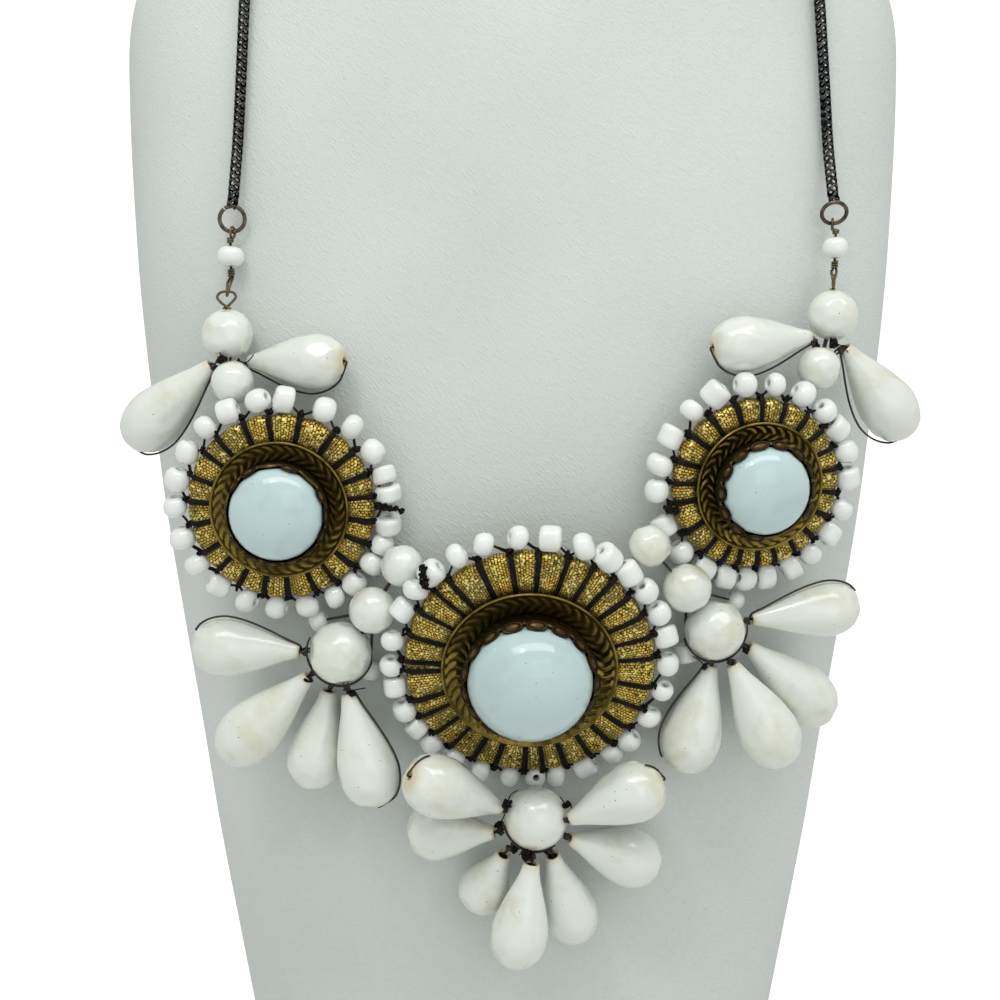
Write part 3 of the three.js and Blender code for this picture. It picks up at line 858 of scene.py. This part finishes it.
def on_disc(place, points):
    """Takes points of a rosette's own frame (right, up, out) to the bust's frame."""
    middle, basis = place
    return np.asarray(points).reshape(-1, 3) @ basis + middle


def off_disc(place, name):
    """A CAD node's vertices in the rosette's own frame."""
    middle, basis = place
    return (node_points(name) - middle) @ basis.T


def polar(radius, height, angle):
    """Points from radii, heights and angles of a rosette's own frame."""
    radius, height, angle = np.broadcast_arrays(radius, height, angle)
    return np.stack([radius * np.cos(angle), radius * np.sin(angle), height], -1)


lurex, tree, shader = blank_finish("gold_lurex_ribbon")
weave = add_node(tree, "Attribute", attribute_name="weave")
cells = add_node(tree, "TexBrick", {"Vector": weave.outputs["Vector"], "Color1": srgb(250, 216, 92),
    "Color2": srgb(186, 156, 62), "Mortar": srgb(52, 42, 14), "Scale": 1.0, "Mortar Size": 0.085,
    "Mortar Smooth": 0.5, "Bias": -0.15, "Brick Width": 0.6, "Row Height": 0.48})
flecks = add_node(tree, "TexVoronoi", {"Vector": weave.outputs["Vector"], "Scale": 3.1},
    feature="F1")
lot = add_node(tree, "SeparateColor", {"Color": flecks.outputs["Color"]})
place_in = add_node(tree, "TexCoord")
shade_noise = add_node(tree, "TexNoise", {"Vector": place_in.outputs["Object"], "Scale": 230,
    "Detail": 1})
greener = add_node(tree, "MapRange", {"Value": shade_noise.outputs["Fac"], "From Min": 0.42,
    "From Max": 0.62, "To Max": 0.5})
dusk = add_node(tree, "Mix", {"B": srgb(96, 100, 62), "Factor": greener.outputs["Result"],
    "A": cells.outputs["Color"]}, data_type="RGBA")
colour = dusk.outputs["Result"]
# Painted highlights: the pale yellow flecks stand for glints on the metal yarn; the orange and dark
# flecks are scattered at random.
for channel, limit, tint in (("Red", 0.87, (255, 242, 160)), ("Green", 0.965, (206, 130, 56)),
                             ("Blue", 0.91, (78, 64, 24))):
    catch = add_node(tree, "Math", {0: lot.outputs[channel], 1: limit}, operation="GREATER_THAN")
    layer = add_node(tree, "Mix", {"B": srgb(*tint), "Factor": catch.outputs["Value"], "A": colour},
        data_type="RGBA")
    colour = layer.outputs["Result"]
# Painted shade: the ribbon goes near black beside the binding threads and under the dish's rim.
pinch = add_node(tree, "Attribute", attribute_name="valley")
painted_valley_shade = add_node(tree, "Mix", {"B": srgb(30, 24, 10), "Factor": pinch.outputs["Fac"], "A": colour},
    data_type="RGBA")
yarn = add_node(tree, "Bump", {"Height": cells.outputs["Fac"], "Strength": 0.85,
    "Distance": 0.00018}, invert=True)
fill(tree, shader, {"Base Color": painted_valley_shade.outputs["Result"], "Normal": yarn.outputs["Normal"],
    "Metallic": 0.75, "Roughness": 0.38})

rosette_places, rosette_sizes = {}, {}
for side, look in ROSETTES.items():
    place = rosette_places[side] = rosette_place("disc_" + side)
    disc_r = np.hypot(*off_disc(place, "disc_" + side)[:, :2].T).max()
    dish_r = np.hypot(*off_disc(place, "dish_" + side)[:, :2].T).max()
    rosette_sizes[side] = (disc_r, dish_r)
    cross = np.radians(np.sort(look["threads"]))
    gaps = np.diff(np.append(cross, cross[0] + 2 * math.pi))
    fine = []
    for a, gap in zip(cross, gaps):
        n = max(6, int(gap * disc_r / RIBBON_STEP))
        fine += [(a + gap * k / n, k / n, gap) for k in range(n)]
    angle, share, gap = np.array(fine).T
    plump = np.clip(np.sin(math.pi * share), 0, 1) ** 0.42
    plump *= np.clip(gap * disc_r / 3.2, 0.3, 1)
    plump *= 1 + 0.12 * np.sin(5 * angle + 1)
    rows = [(0.3, DISC_BACK, 0), (disc_r * 0.5, DISC_BACK, 0.1), (disc_r - 1.6, DISC_BACK, 0.4),
            (disc_r - 0.7, DISC_BACK + 0.15, 0.7), (disc_r - 0.15, DISC_BACK + 0.75, 0.75),
            (disc_r, -0.5, 0.75), (disc_r, 0.2, 0.75), (disc_r - 0.1, 0.65, 0.8),
            (disc_r - 0.35, 1.0, 0.9), (disc_r - 0.8, 1.25, 1), (disc_r - 1.4, 1.32, 1)]
    inner = np.linspace(disc_r - 2.0, dish_r - 2.0, 12)
    rows += [(r, DISC_FRONT, 1.0) for r in inner] + [(dish_r * 0.7, 0.9, 0.2)]
    line = np.array([row[:2] for row in rows])
    step = np.gradient(line, axis=0)
    face_out = unit(np.stack([step[:, 1], -step[:, 0]], 1))
    loose = np.array([row[2] for row in rows])
    push = (plump[None] - 0.45) * loose[:, None] * RIBBON_PUFF
    r = line[:, :1] + face_out[:, :1] * push * 0.9
    h = line[:, 1:] + face_out[:, 1:] * push
    ribbon = polar(r, h, angle[None])
    run = run_along(line)
    flat = np.zeros((len(rows), len(angle), 3))
    flat[..., 0] = run[:, None]
    flat[..., 1] = angle[None] * disc_r * 0.86
    flat[..., 2] = np.floor(np.searchsorted(cross, angle, side="right") * 7.3)[None]
    core = end_caps(len(rows), len(angle))[0]
    piece = make_piece("ribbon_disc_" + side,
                       [(on_disc(place, ribbon), sheet_faces(len(rows), len(angle)), core)], lurex)
    woven = piece.data.attributes.new("weave", "FLOAT_VECTOR", "POINT")
    woven.data.foreach_set("vector", flat.reshape(-1))
    # The valley mark is painted shade: darkest beside each binding thread and under the dish's rim.
    beside = np.minimum(share, 1 - share) * gap * disc_r
    valley = 0.94 * np.exp(-(beside / 0.85) ** 2)
    shade_under_rim = 0.8 * np.clip(1 - (line[:, 0] - dish_r + 0.1) / 0.9, 0, 1)
    mark(piece, "valley", np.maximum(valley[None], shade_under_rim[:, None]))
    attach(piece, "root")
    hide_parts("disc_" + side)

# ---------------------------------------------------------------------------
# Seed beads: opaque white glass, threaded round the rim of each disc with the hole
# along the rim. Hand-cut, so each has its own length, width and lean.
SEED_BACK = -0.6
SEED_HOLE = 0.55
SQUARE_SHARE = 0.35
TURNED_SEED = 273
seed_spots = {}
for side, place in rosette_places.items():
    local = off_disc(place, "seed_ring_" + side)
    far = np.hypot(local[:, 0], local[:, 1])
    ring_r = (far.max() + far.min()) / 2
    off_line = np.hypot(far - ring_r, local[:, 2] - SEED_BACK)
    widest = local[off_line > off_line.max() * 0.97]
    tips = np.sort(np.degrees(np.arctan2(widest[:, 1], widest[:, 0])) % 360)
    groups = np.split(tips, np.where(np.diff(tips) > 2.5)[0] + 1)
    if len(groups) > 1 and groups[0][0] + 360 - groups[-1][-1] < 2.5:
        groups[0] = np.append(groups[0], groups.pop() - 360)
    seats = np.array([g.mean() for g in groups])
    seed_spots[side] = (ring_r, seats)
    parts = []
    for k, seat in enumerate(seats):
        room = min((seats[(k + 1) % len(seats)] - seat) % 360, (seat - seats[k - 1]) % 360)
        room = math.radians(room) * ring_r
        half = min(chance.uniform(1.65, 2.2), room * 0.49)
        radius = chance.uniform(2.12, 2.52)
        points, faces = glass_bead(radius, half, SEED_HOLE, chance.uniform() < SQUARE_SHARE)
        a = math.radians(seat)
        lean, tip = chance.normal(0, 0.2), chance.normal(0, 0.24)
        along_rim = np.array([-math.sin(a + lean), math.cos(a + lean), math.sin(tip)])
        if side == "centre" and abs(seat - TURNED_SEED) < 3:
            along_rim = np.array([0.1, 0.35, 1.0])
        spot = [ring_r * math.cos(a), ring_r * math.sin(a), SEED_BACK + chance.normal(0, 0.12)]
        parts.append((on_disc(place, lay_along(points, spot, unit(along_rim))), faces))
    piece = make_piece("seed_beads_" + side, parts, milk_glass)
    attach(piece, "root")
    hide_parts("seed_ring_" + side)

# ---------------------------------------------------------------------------
# Binding thread: waxed dark thread, three or four turns over the ribbon in each valley,
# knotted at the rim and carried through the seed beads on both sides.
THREAD_R = 0.25
THREAD_PITCH = 0.29
FULL_BINDINGS = (("left", 351), ("right", 213.5), ("right", 191.5))
waxed, tree, shader = blank_finish("dark_waxed_thread")
place_in = add_node(tree, "TexCoord")
twist = add_node(tree, "TexNoise", {"Vector": place_in.outputs["Object"], "Scale": 900, "Detail": 3,
    "Roughness": 0.7})
dye = add_node(tree, "ValToRGB", {"Fac": twist.outputs["Fac"]})
dye.color_ramp.elements[0].position, dye.color_ramp.elements[1].position = 0.5, 0.74
dye.color_ramp.elements[0].color = srgb(10, 9, 9)
dye.color_ramp.elements[1].color = srgb(52, 22, 18)
fibre = add_node(tree, "TexNoise", {"Vector": place_in.outputs["Object"], "Scale": 6500,
    "Detail": 2})
fuzz = add_node(tree, "Bump", {"Height": fibre.outputs["Fac"], "Strength": 0.5,
    "Distance": 0.00006})
fill(tree, shader, {"Base Color": dye.outputs["Color"], "Normal": fuzz.outputs["Normal"],
    "Roughness": 0.6, "Specular IOR Level": 0.2})


def tangle(centre, size, turns, radius):
    """A small knot: one wire going round and round itself in a ball."""
    count = turns * 5
    spots = unit(chance.normal(0, 1, (count, 3)))
    spots *= chance.uniform(0.55, 1, (count, 1)) * np.asarray(size) / 2
    return strand(smooth_line(spots + centre, count * 7), radius, 5)


for side, place in rosette_places.items():
    disc_r, dish_r = rosette_sizes[side]
    ring_r, seats = seed_spots[side]
    parts = []
    rim_spots = []
    for k, turn in enumerate(np.sort(ROSETTES[side]["threads"])):
        a = math.radians(turn)
        rim_spots.append((turn, disc_r + 0.75))
        turns = 4 if (side, turn) in FULL_BINDINGS else 3
        for n in range(turns):
            shift = (n - (turns - 1) / 2) * THREAD_PITCH
            inner, outer = dish_r - 1.1, disc_r
            r = np.array([inner, inner + 0.8, (inner + outer) / 2, outer - 1.2, outer - 0.2,
                          outer + 0.45, outer + 0.55])
            h = np.array([1.2, 1.32, 1.36, 1.36, 1.2, 0.5, -0.6]) + 0.05 * (n % 2)
            spread = np.array([1.15, 1.1, 0.95, 0.9, 0.8, 0.6, 0.5]) * shift
            wander = chance.normal(0, 0.09, len(r))
            turn_line = on_disc(place, polar(r, h, a + (spread + wander) / r))
            parts.append(strand(turn_line, THREAD_R, 6))
        knot = on_disc(place, polar(disc_r + 0.8, 0.25, a))[0]
        parts.append(tangle(knot, 1.7, 2, 0.24))
    stops = sorted([(t % 360, r, 0.1) for t, r in rim_spots]
                   + [(s % 360, ring_r, SEED_BACK) for s in seats])
    stops = np.array(stops)
    for n in range(2):
        loop = polar(stops[:, 1] + chance.normal(0, 0.12, len(stops)), stops[:, 2],
                     np.radians(stops[:, 0]))
        line = smooth_line(on_disc(place, loop), len(stops) * 8, closed=True)
        parts.append(strand(line, 0.22 - 0.04 * n, 6, closed=True))
    piece = make_piece("binding_thread_" + side, parts, waxed)
    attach(piece, "root")

# ---------------------------------------------------------------------------
# Dishes: thin brass pressed in a die, with a rolled rim and a band of curved chevrons,
# antiqued dark and rubbed back on the high parts, with painted shade on the floor by the bezel.
DISH_BAND_ROWS = 26
SMEAR_TURN = 0.27
dish_brass = old_metal("stamped_dish_brass", srgb(150, 130, 66), srgb(88, 75, 32),
                       {"Patch Scale": 260, "Amount": 0.9, "Smooth": 0.3, "Dull": 0.5},
                       relief="hollow")
for side, place in rosette_places.items():
    dish_r = rosette_sizes[side][1]
    local = off_disc(place, "dish_" + side)
    bottom, brim = local[:, 2].min(), local[:, 2].max()
    look = ROSETTES[side]
    rim_in = dish_r - look["rim"]
    band_in = rim_in - look["band"]
    floor_h = bottom + 0.5
    line = [(0.2, bottom), (dish_r * 0.8, bottom), (dish_r - 0.5, brim - 0.9),
            (dish_r, brim - 0.45), (dish_r + 0.06, brim - 0.2), (dish_r - 0.02, brim + 0.02),
            (dish_r - 0.2, brim + 0.06), (dish_r - 0.38, brim - 0.03), (dish_r - 0.5, brim - 0.14)]
    stamped = slice(len(line), len(line) + DISH_BAND_ROWS)
    band = np.linspace(rim_in, band_in, DISH_BAND_ROWS)
    fall = (rim_in - band) / (rim_in - band_in)
    slope_h = brim - 0.25 - (brim - 0.25 - floor_h - 0.15) * fall ** 0.85
    line += list(zip(band, slope_h))
    line += [(band_in - 0.4, floor_h), (dish_r * 0.45, floor_h), (0.2, floor_h)]
    line = np.array(line)
    columns = look["chevrons"] * 14
    angle = full_turn(columns)
    h = np.repeat(line[:, 1:], columns, 1)
    hollow = np.zeros_like(h)
    v = np.linspace(0, 1, DISH_BAND_ROWS)[:, None]
    phase = angle * look["chevrons"] / (2 * math.pi) + 0.62 * (1 - np.abs(2 * v - 1) ** 1.5)
    phase = phase + 0.1 * np.sin(3 * angle + 1)
    wave = (0.5 + 0.5 * np.cos(2 * math.pi * phase)) ** 0.8
    edge = np.clip(np.minimum(v, 1 - v) / 0.07, 0, 1) ** 0.8
    rise = (wave - 0.5) * edge
    if side == "centre":
        rise *= 0.5 + 1.1 * np.clip(1 - 1.5 * np.maximum(np.sin(angle), 0), 0, 1)
    h[stamped] += rise * look["stamp"]
    grime = np.clip(look["grime"] - 1.7 * look["stamp"] * rise, 0, 1)
    # The hollow mark is patina in the stamped hollows, and painted shade where it deepens towards
    # the floor and on the floor by the bezel.
    hollow[stamped] = grime * np.clip(v + 0.5, 0, 1)
    hollow[stamped.stop:] = 0.7
    if side == "centre":
        smear = np.exp(-(np.angle(np.exp(1j * (angle - SMEAR_TURN))) / 0.2) ** 2)
        hollow[stamped] = np.maximum(hollow[stamped], 0.95 * smear * np.clip(v * 2, 0, 1))
    points = on_disc(place, polar(line[:, :1], h, angle))
    piece = make_piece("stamped_dish_" + side, [(points, sheet_faces(len(line), columns),
                                                 *end_caps(len(line), columns))], dish_brass)
    mark(piece, "hollow", hollow)
    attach(piece, "root")
    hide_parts("dish_" + side)

# ---------------------------------------------------------------------------
# Bezel cups: a thin brass crown soldered in the dish, its pierced edge of small oval
# lobes burnished over the stone.
bezel_brass = old_metal("dark_bezel_brass", srgb(112, 92, 58), srgb(54, 44, 28),
                        {"Patch Scale": 420, "Amount": 0.8, "Smooth": 0.3, "Dull": 0.5},
                        relief="hollow")
LOBE_SIDES = 18
LOST_LOBES = 0.12
# Rows of a lobe: radius, height, how dark it stays.
LOBE_ROWS = np.array([(0.02, 0.34, 0.0), (0.3, 0.32, 0.1), (0.52, 0.16, 0.6), (0.66, 0.1, 0.97),
                      (0.8, 0.22, 0.75), (0.93, 0.2, 0.7), (1.0, 0.0, 0.9), (0.8, -0.16, 0.95),
                      (0.02, -0.2, 0.95)])
lobe = turned_rows(LOBE_ROWS[:, :2], LOBE_SIDES).reshape(-1, 3)
lobe_faces = [sheet_faces(len(LOBE_ROWS), LOBE_SIDES),
              *(cap[:, ::-1] for cap in end_caps(len(LOBE_ROWS), LOBE_SIDES))]
for side, place in rosette_places.items():
    local = off_disc(place, "bezel_" + side)
    look = ROSETTES[side]
    wall_r = np.hypot(local[:, 0], local[:, 1]).max() + look["sink"] * 0.35
    base, lip = local[:, 2].min(), local[:, 2].max() - look["sink"]
    lobes = look["crown"]
    columns = lobes * 12
    angle = full_turn(columns)
    scallop = np.abs(np.cos(angle * lobes / 2)) ** 0.7
    rows = [(wall_r - 1.3, base, 0), (wall_r - 0.5, base + 0.3, 0), (wall_r - 0.05, lip - 1.6, 0),
            (wall_r, lip - 0.9, 0.1), (wall_r, lip - 0.35, 0.5), (wall_r - 0.16, lip, 1),
            (wall_r - 0.42, lip, 1), (wall_r - 0.5, lip - 0.4, 0.6), (wall_r - 0.55, lip - 1.5, 0),
            (wall_r - 1.8, base + 0.5, 0)]
    h = np.array([row[1] + row[2] * 0.55 * (scallop - 0.5) for row in rows])
    r = np.array([row[0] - row[2] * 0.12 * scallop for row in rows])
    # Painted shade: the cup's wall darkens towards near black below the lip, down into the dish;
    # the lip stays bright.
    hollow = np.clip(np.array([np.full(columns, 0.75 - 0.75 * row[2]) for row in rows]), 0, 1)
    parts = [(on_disc(place, polar(r, h, angle[None])), sheet_faces(len(rows), columns))]
    marks = [hollow.reshape(-1)]
    for k in range(lobes):
        a = 2 * math.pi * k / lobes
        if chance.uniform() < LOST_LOBES and side != "centre":
            continue
        spread = math.pi * wall_r / lobes * chance.uniform(0.8, 0.95)
        size = np.array([spread, look["lobe"] * chance.uniform(0.85, 1.1), 1.0])
        across = np.array([-math.sin(a), math.cos(a), 0])
        inward = np.array([-math.cos(a), -math.sin(a), 0])
        rise = 0.72 * inward + 0.69 * np.array([0, 0, 1])
        face = np.cross(across, -rise)
        face = face if face[2] > 0 else -face
        spot = polar(wall_r - 0.32, lip + 0.28, a)
        shaped = (lobe * size) @ np.stack([across, rise, face]) + spot
        parts.append((on_disc(place, shaped), *lobe_faces))
        marks.append(np.repeat(LOBE_ROWS[:, 2], LOBE_SIDES))
    piece = make_piece("bezel_crown_" + side, parts, bezel_brass)
    mark(piece, "hollow", np.concatenate(marks))
    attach(piece, "root")
    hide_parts("bezel_" + side)

# ---------------------------------------------------------------------------
# Cabochons: high domes of opaque glass, pale aqua white, pressed and fire-polished,
# with a few dark pin-specks. Each is held by its crown of lobes.
STONE_COLUMNS = 96
aqua_glass, tree, shader = stained_white(
    "aqua_white_glass", srgb(198, 222, 221), srgb(176, 197, 194), srgb(90, 92, 84),
    {"Cloud Scale": 75, "Cloud Amount": 0.6, "Speck Scale": 1100, "Speck Amount": 0.07})
fill(tree, shader, {"Roughness": 0.09, "Coat Weight": 0.6, "Coat Roughness": 0.12})
for side, place in rosette_places.items():
    local = off_disc(place, "cabochon_" + side)
    far = np.hypot(local[:, 0], local[:, 1])
    sink = ROSETTES[side]["sink"]
    stone_r = far.max() + sink * 0.35
    base, summit = local[:, 2].min(), local[:, 2].max() + sink * 1.2
    girdle = local[far > far.max() * 0.98][:, 2].max() - sink
    line = [(0.05, base), (stone_r - 1.3, base), (stone_r - 0.2, girdle - 0.8),
            (stone_r, girdle - 0.4)]
    line += [(stone_r * math.cos(a) ** 0.94, girdle + (summit - girdle) * math.sin(a))
             for a in np.linspace(0, math.pi / 2 - 0.012, 40)]
    dome = on_disc(place, turned_rows(line, STONE_COLUMNS))
    piece = make_piece("domed_stone_" + side, [(dome, sheet_faces(len(line), STONE_COLUMNS),
                                                *end_caps(len(line), STONE_COLUMNS))], aqua_glass)
    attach(piece, "root")
    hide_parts("cabochon_" + side)

# ---------------------------------------------------------------------------
# Tie wires: thin dark wire that runs through each teardrop and comes back along its
# side, holding the fans together round their hub beads.
TIE_R = 0.2
tie_wire, tree, shader = blank_finish("dark_tie_wire")
place_in = add_node(tree, "TexCoord")
lacquer = add_node(tree, "TexNoise", {"Vector": place_in.outputs["Object"], "Scale": 420,
    "Detail": 4})
coat = add_node(tree, "ValToRGB", {"Fac": lacquer.outputs["Fac"]})
coat.color_ramp.elements[0].position, coat.color_ramp.elements[1].position = 0.42, 0.7
coat.color_ramp.elements[0].color = srgb(26, 21, 18)
coat.color_ramp.elements[1].color = srgb(70, 48, 36)
scuff = add_node(tree, "Bump", {"Height": lacquer.outputs["Fac"], "Strength": 0.3,
    "Distance": 0.00004})
fill(tree, shader, {"Base Color": coat.outputs["Color"], "Normal": scuff.outputs["Normal"],
    "Roughness": 0.35})

outline_table = smooth_line(DROP_OUTLINE, 200)


def beside_drop(name, toward, first, last, bow=0.0, lift=0.25):
    """A line along a teardrop's side, from one share of its length to another."""
    start, way, length, half = drop_lines[name]
    side = np.array([toward[0], -lift, toward[1]], float)
    side = unit(side - way * (side @ way))
    s = np.linspace(first, last, 26)
    order = np.argsort(outline_table[:, 1])
    radius = np.interp(s, outline_table[order, 1], outline_table[order, 0]) * half
    radius += TIE_R * 0.9 + bow * np.sin(math.pi * (s - first) / (last - first))
    return start + way * (s * length)[:, None] + side * radius[:, None]


TIES = [
    # teardrop, which side the wire shows on (right, up), from, to, how far it bows out (mm)
    ("drop_left_top_1", (0.3, -1), 0.0, 1.0, 0.6), ("drop_left_top_2", (0.2, -1), 0.0, 1.0, 0.75),
    ("drop_right_top_1", (-0.2, -1), 0.0, 1.0, 0.7),
    ("drop_right_top_2", (-1, -0.5), 0.0, 1.0, 1.2),
    ("drop_left_1", (-0.3, 1), 0.0, 0.97, 0.7), ("drop_left_4", (1, 0.2), 0.0, 1.0, 0.3),
    ("drop_right_1", (0.3, 1), 0.0, 0.97, 0.6), ("drop_right_4", (-1, 0.2), 0.0, 0.9, 0.9),
    ("drop_bottom_1", (-0.3, 1), 0.9, 1.0, 0.1), ("drop_bottom_7", (0.3, 1), 0.9, 1.0, 0.1),
]
parts = []
for name, toward, first, last, bow in TIES:
    start, way, length, half = drop_lines[name]
    line = beside_drop(name, toward, first, last, bow)
    if last == 1.0:
        line = np.concatenate([line, [start + way * (length + 0.2), start + way * (length - 1.2)]])
    if first == 0.0:
        line = np.concatenate([[start + way * 0.8, start - way * 0.25], line])
    parts.append(strand(smooth_line(line, 120), TIE_R, 6))

FANS = {
    "hub_left": ["drop_left_1", "drop_left_2", "drop_left_3", "drop_left_4"],
    "hub_right": ["drop_right_1", "drop_right_2", "drop_right_3", "drop_right_4"],
    "hub_bottom": ["drop_bottom_%d" % k for k in range(1, 8)],
    "round_left_2": ["drop_left_top_1", "drop_left_top_2"],
    "round_right_2": ["drop_right_top_1", "drop_right_top_2"],
}


def middle_of(name):
    return sum(node_box(name)) / 2


def depth_of(name):
    low, high = node_box(name)
    return high[1] - low[1]


for hub_bead, drops in FANS.items():
    hub_middle = middle_of(hub_bead)
    hub_r = depth_of(hub_bead) / 2
    for name in drops:
        start, way, length, half = drop_lines[name]
        toward = unit(hub_middle - start)
        touch = hub_middle - toward * (hub_r + 0.1)
        for n in range(2):
            sway = chance.normal(0, 0.35, 3)
            line = [start + way * 1.5, start - way * 0.1 + sway * 0.3,
                    (start + touch) / 2 + sway + [0, -0.4, 0], touch + toward * 0.4 + sway * 0.5]
            parts.append(strand(smooth_line(line, 24), TIE_R, 6))
        parts.append(tangle((start + touch) / 2 + [0, -0.3, 0], 1.5, 3, TIE_R))

# The wire that gathers a fan lies round its hub bead: hub, from and to (degrees round from
# the right as seen from the front), how far forward.
GATHERS = [
    ("hub_left", 150, 345, 0.6), ("hub_left", 160, 330, 0.1), ("hub_right", 195, 385, 0.5),
    ("hub_right", 205, 350, 0.0), ("hub_bottom", 185, 305, 0.4), ("hub_bottom", 195, 290, -0.3),
    ("hub_bottom", 205, 285, 1.0),
]
for name, first, last, ahead in GATHERS:
    a = np.radians(np.linspace(first, last, 24))
    hub_r = depth_of(name) / 2 + TIE_R
    ring_r = hub_r * np.sqrt(1 - (ahead / hub_r) ** 2) + 0.15 + 0.12 * np.sin(3 * a)
    line = middle_of(name) + np.stack([ring_r * np.cos(a), 0 * a - ahead, ring_r * np.sin(a)], 1)
    parts.append(strand(line, TIE_R, 6))

PAIRS = [
    ("round_left_1", "round_left_2"), ("round_right_1", "round_right_2"),
    ("round_left_3", "round_left_4"), ("round_left_4", "hub_left"),
    ("round_right_3", "round_right_4"), ("round_right_4", "hub_right"),
    ("spacer_left_1", "round_left_4"), ("spacer_left_2", "hub_left"),
    ("spacer_left_2", "round_left_4"), ("spacer_right_1", "round_right_4"),
    ("spacer_right_2", "hub_right"), ("spacer_right_2", "round_right_4"),
    ("spacer_left_1", "hub_left"), ("spacer_right_1", "hub_right"),
]
for one, two in PAIRS:
    for n in range(2):
        sway = chance.normal(0, 0.16, 3)
        line = [middle_of(one), middle_of(one) * 0.5 + middle_of(two) * 0.5 + sway, middle_of(two)]
        parts.append(strand(smooth_line(line, 30), TIE_R * 1.05, 6))
ties = make_piece("tie_wires", parts, tie_wire)
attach(ties, "root")

# ---------------------------------------------------------------------------
# Knots and loose ends: lumps of the same waxed thread where clusters are tied off,
# with short cut tails. Three tufts stand beside the rosettes, and thread fills the wide
# drilled holes.
KNOTS = [
    # between these two pieces, share of the way, push (mm), size (mm), turns, tails
    ("round_left_1", "round_left_2", 0.52, (-1.2, -1.5, 0.0), 2.1, 4, 2),
    ("round_left_1", "round_left_2", 0.55, (1.8, -1.0, -0.3), 1.6, 3, 1),
    ("round_right_1", "round_right_2", 0.52, (1.2, -1.5, 0.0), 2.1, 4, 2),
    ("round_right_1", "round_right_2", 0.55, (-1.8, -1.0, -0.2), 1.6, 3, 1),
    ("hub_bottom", "drop_bottom_1", 0.36, (0.0, -1.0, 1.2), 2.2, 4, 1),
    ("hub_bottom", "drop_bottom_2", 0.4, (-0.4, -0.8, 0.0), 2.0, 4, 1),
    ("hub_bottom", "drop_bottom_4", 0.33, (-0.6, -1.6, -0.3), 2.6, 5, 1),
    ("hub_bottom", "drop_bottom_3", 0.42, (0.3, -1.2, -0.2), 2.3, 4, 1),
    ("hub_bottom", "drop_bottom_5", 0.36, (-0.4, -1.0, -0.2), 2.0, 4, 0),
    ("hub_bottom", "drop_bottom_7", 0.38, (0.0, -0.6, 1.0), 1.8, 3, 3),
    ("hub_left", "drop_left_2", 0.4, (-0.2, -0.8, 0.2), 1.6, 3, 0),
    ("hub_left", "drop_left_4", 0.4, (0.2, -0.8, 0.0), 1.6, 3, 1),
    ("hub_right", "drop_right_2", 0.4, (0.2, -0.8, 0.2), 1.6, 3, 0),
    ("hub_right", "drop_right_4", 0.4, (-0.2, -0.8, 0.0), 1.6, 3, 1),
    ("hub_left", "round_left_4", 0.5, (1.6, -1.4, 0.6), 1.5, 3, 1),
    ("hub_right", "round_right_4", 0.5, (-1.4, -1.4, 0.8), 1.5, 3, 1),
]
KNOT_THREAD_R = 0.22
TAIL_R = 0.11
TUFTS = [
    # rosette, angle (degrees), distance past the seed ring (mm), length (mm), size (mm)
    ("left", 2, -1.6, 4.0, 1.7), ("centre", 137, 0.2, 2.2, 2.2), ("right", 196, -2.2, 1.2, 1.7),
]
parts = []
for one, two, share, push, size, turns, tails in KNOTS:
    spot = middle_of(one) * (1 - share) + middle_of(two) * share + np.array(push)
    parts.append(tangle(spot, size, turns, KNOT_THREAD_R))
    for n in range(tails):
        way = unit(chance.normal(0, 1, 3) * [1, 0.4, 1])
        reach = chance.uniform(1.6, 3.4)
        line = [spot, spot + way * reach * 0.5 + chance.normal(0, 0.3, 3),
                spot + way * reach + chance.normal(0, 0.5, 3)]
        parts.append(strand(smooth_line(line, 18), TAIL_R, 5))
for side, turn, past, reach, size in TUFTS:
    a = math.radians(turn)
    for n in range(5):
        share = n / 4
        at = polar(seed_spots[side][0] + past + reach * share, 1.9 - share, a - 0.06 * share)
        at = on_disc(rosette_places[side], at)[0]
        parts.append(tangle(at, size * (1 - 0.35 * share), 3, KNOT_THREAD_R))
for name in WIDE_DRILLED:
    start, way = drop_lines[name][:2]
    plug = [start + way * depth for depth in (0.35, 1.6, 4.0)]
    parts.append(strand(plug, [WIDE_MOUTH * k for k in (0.86, 0.72, 0.5)], 12))
knots = make_piece("thread_knots", parts, waxed)
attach(knots, "root")
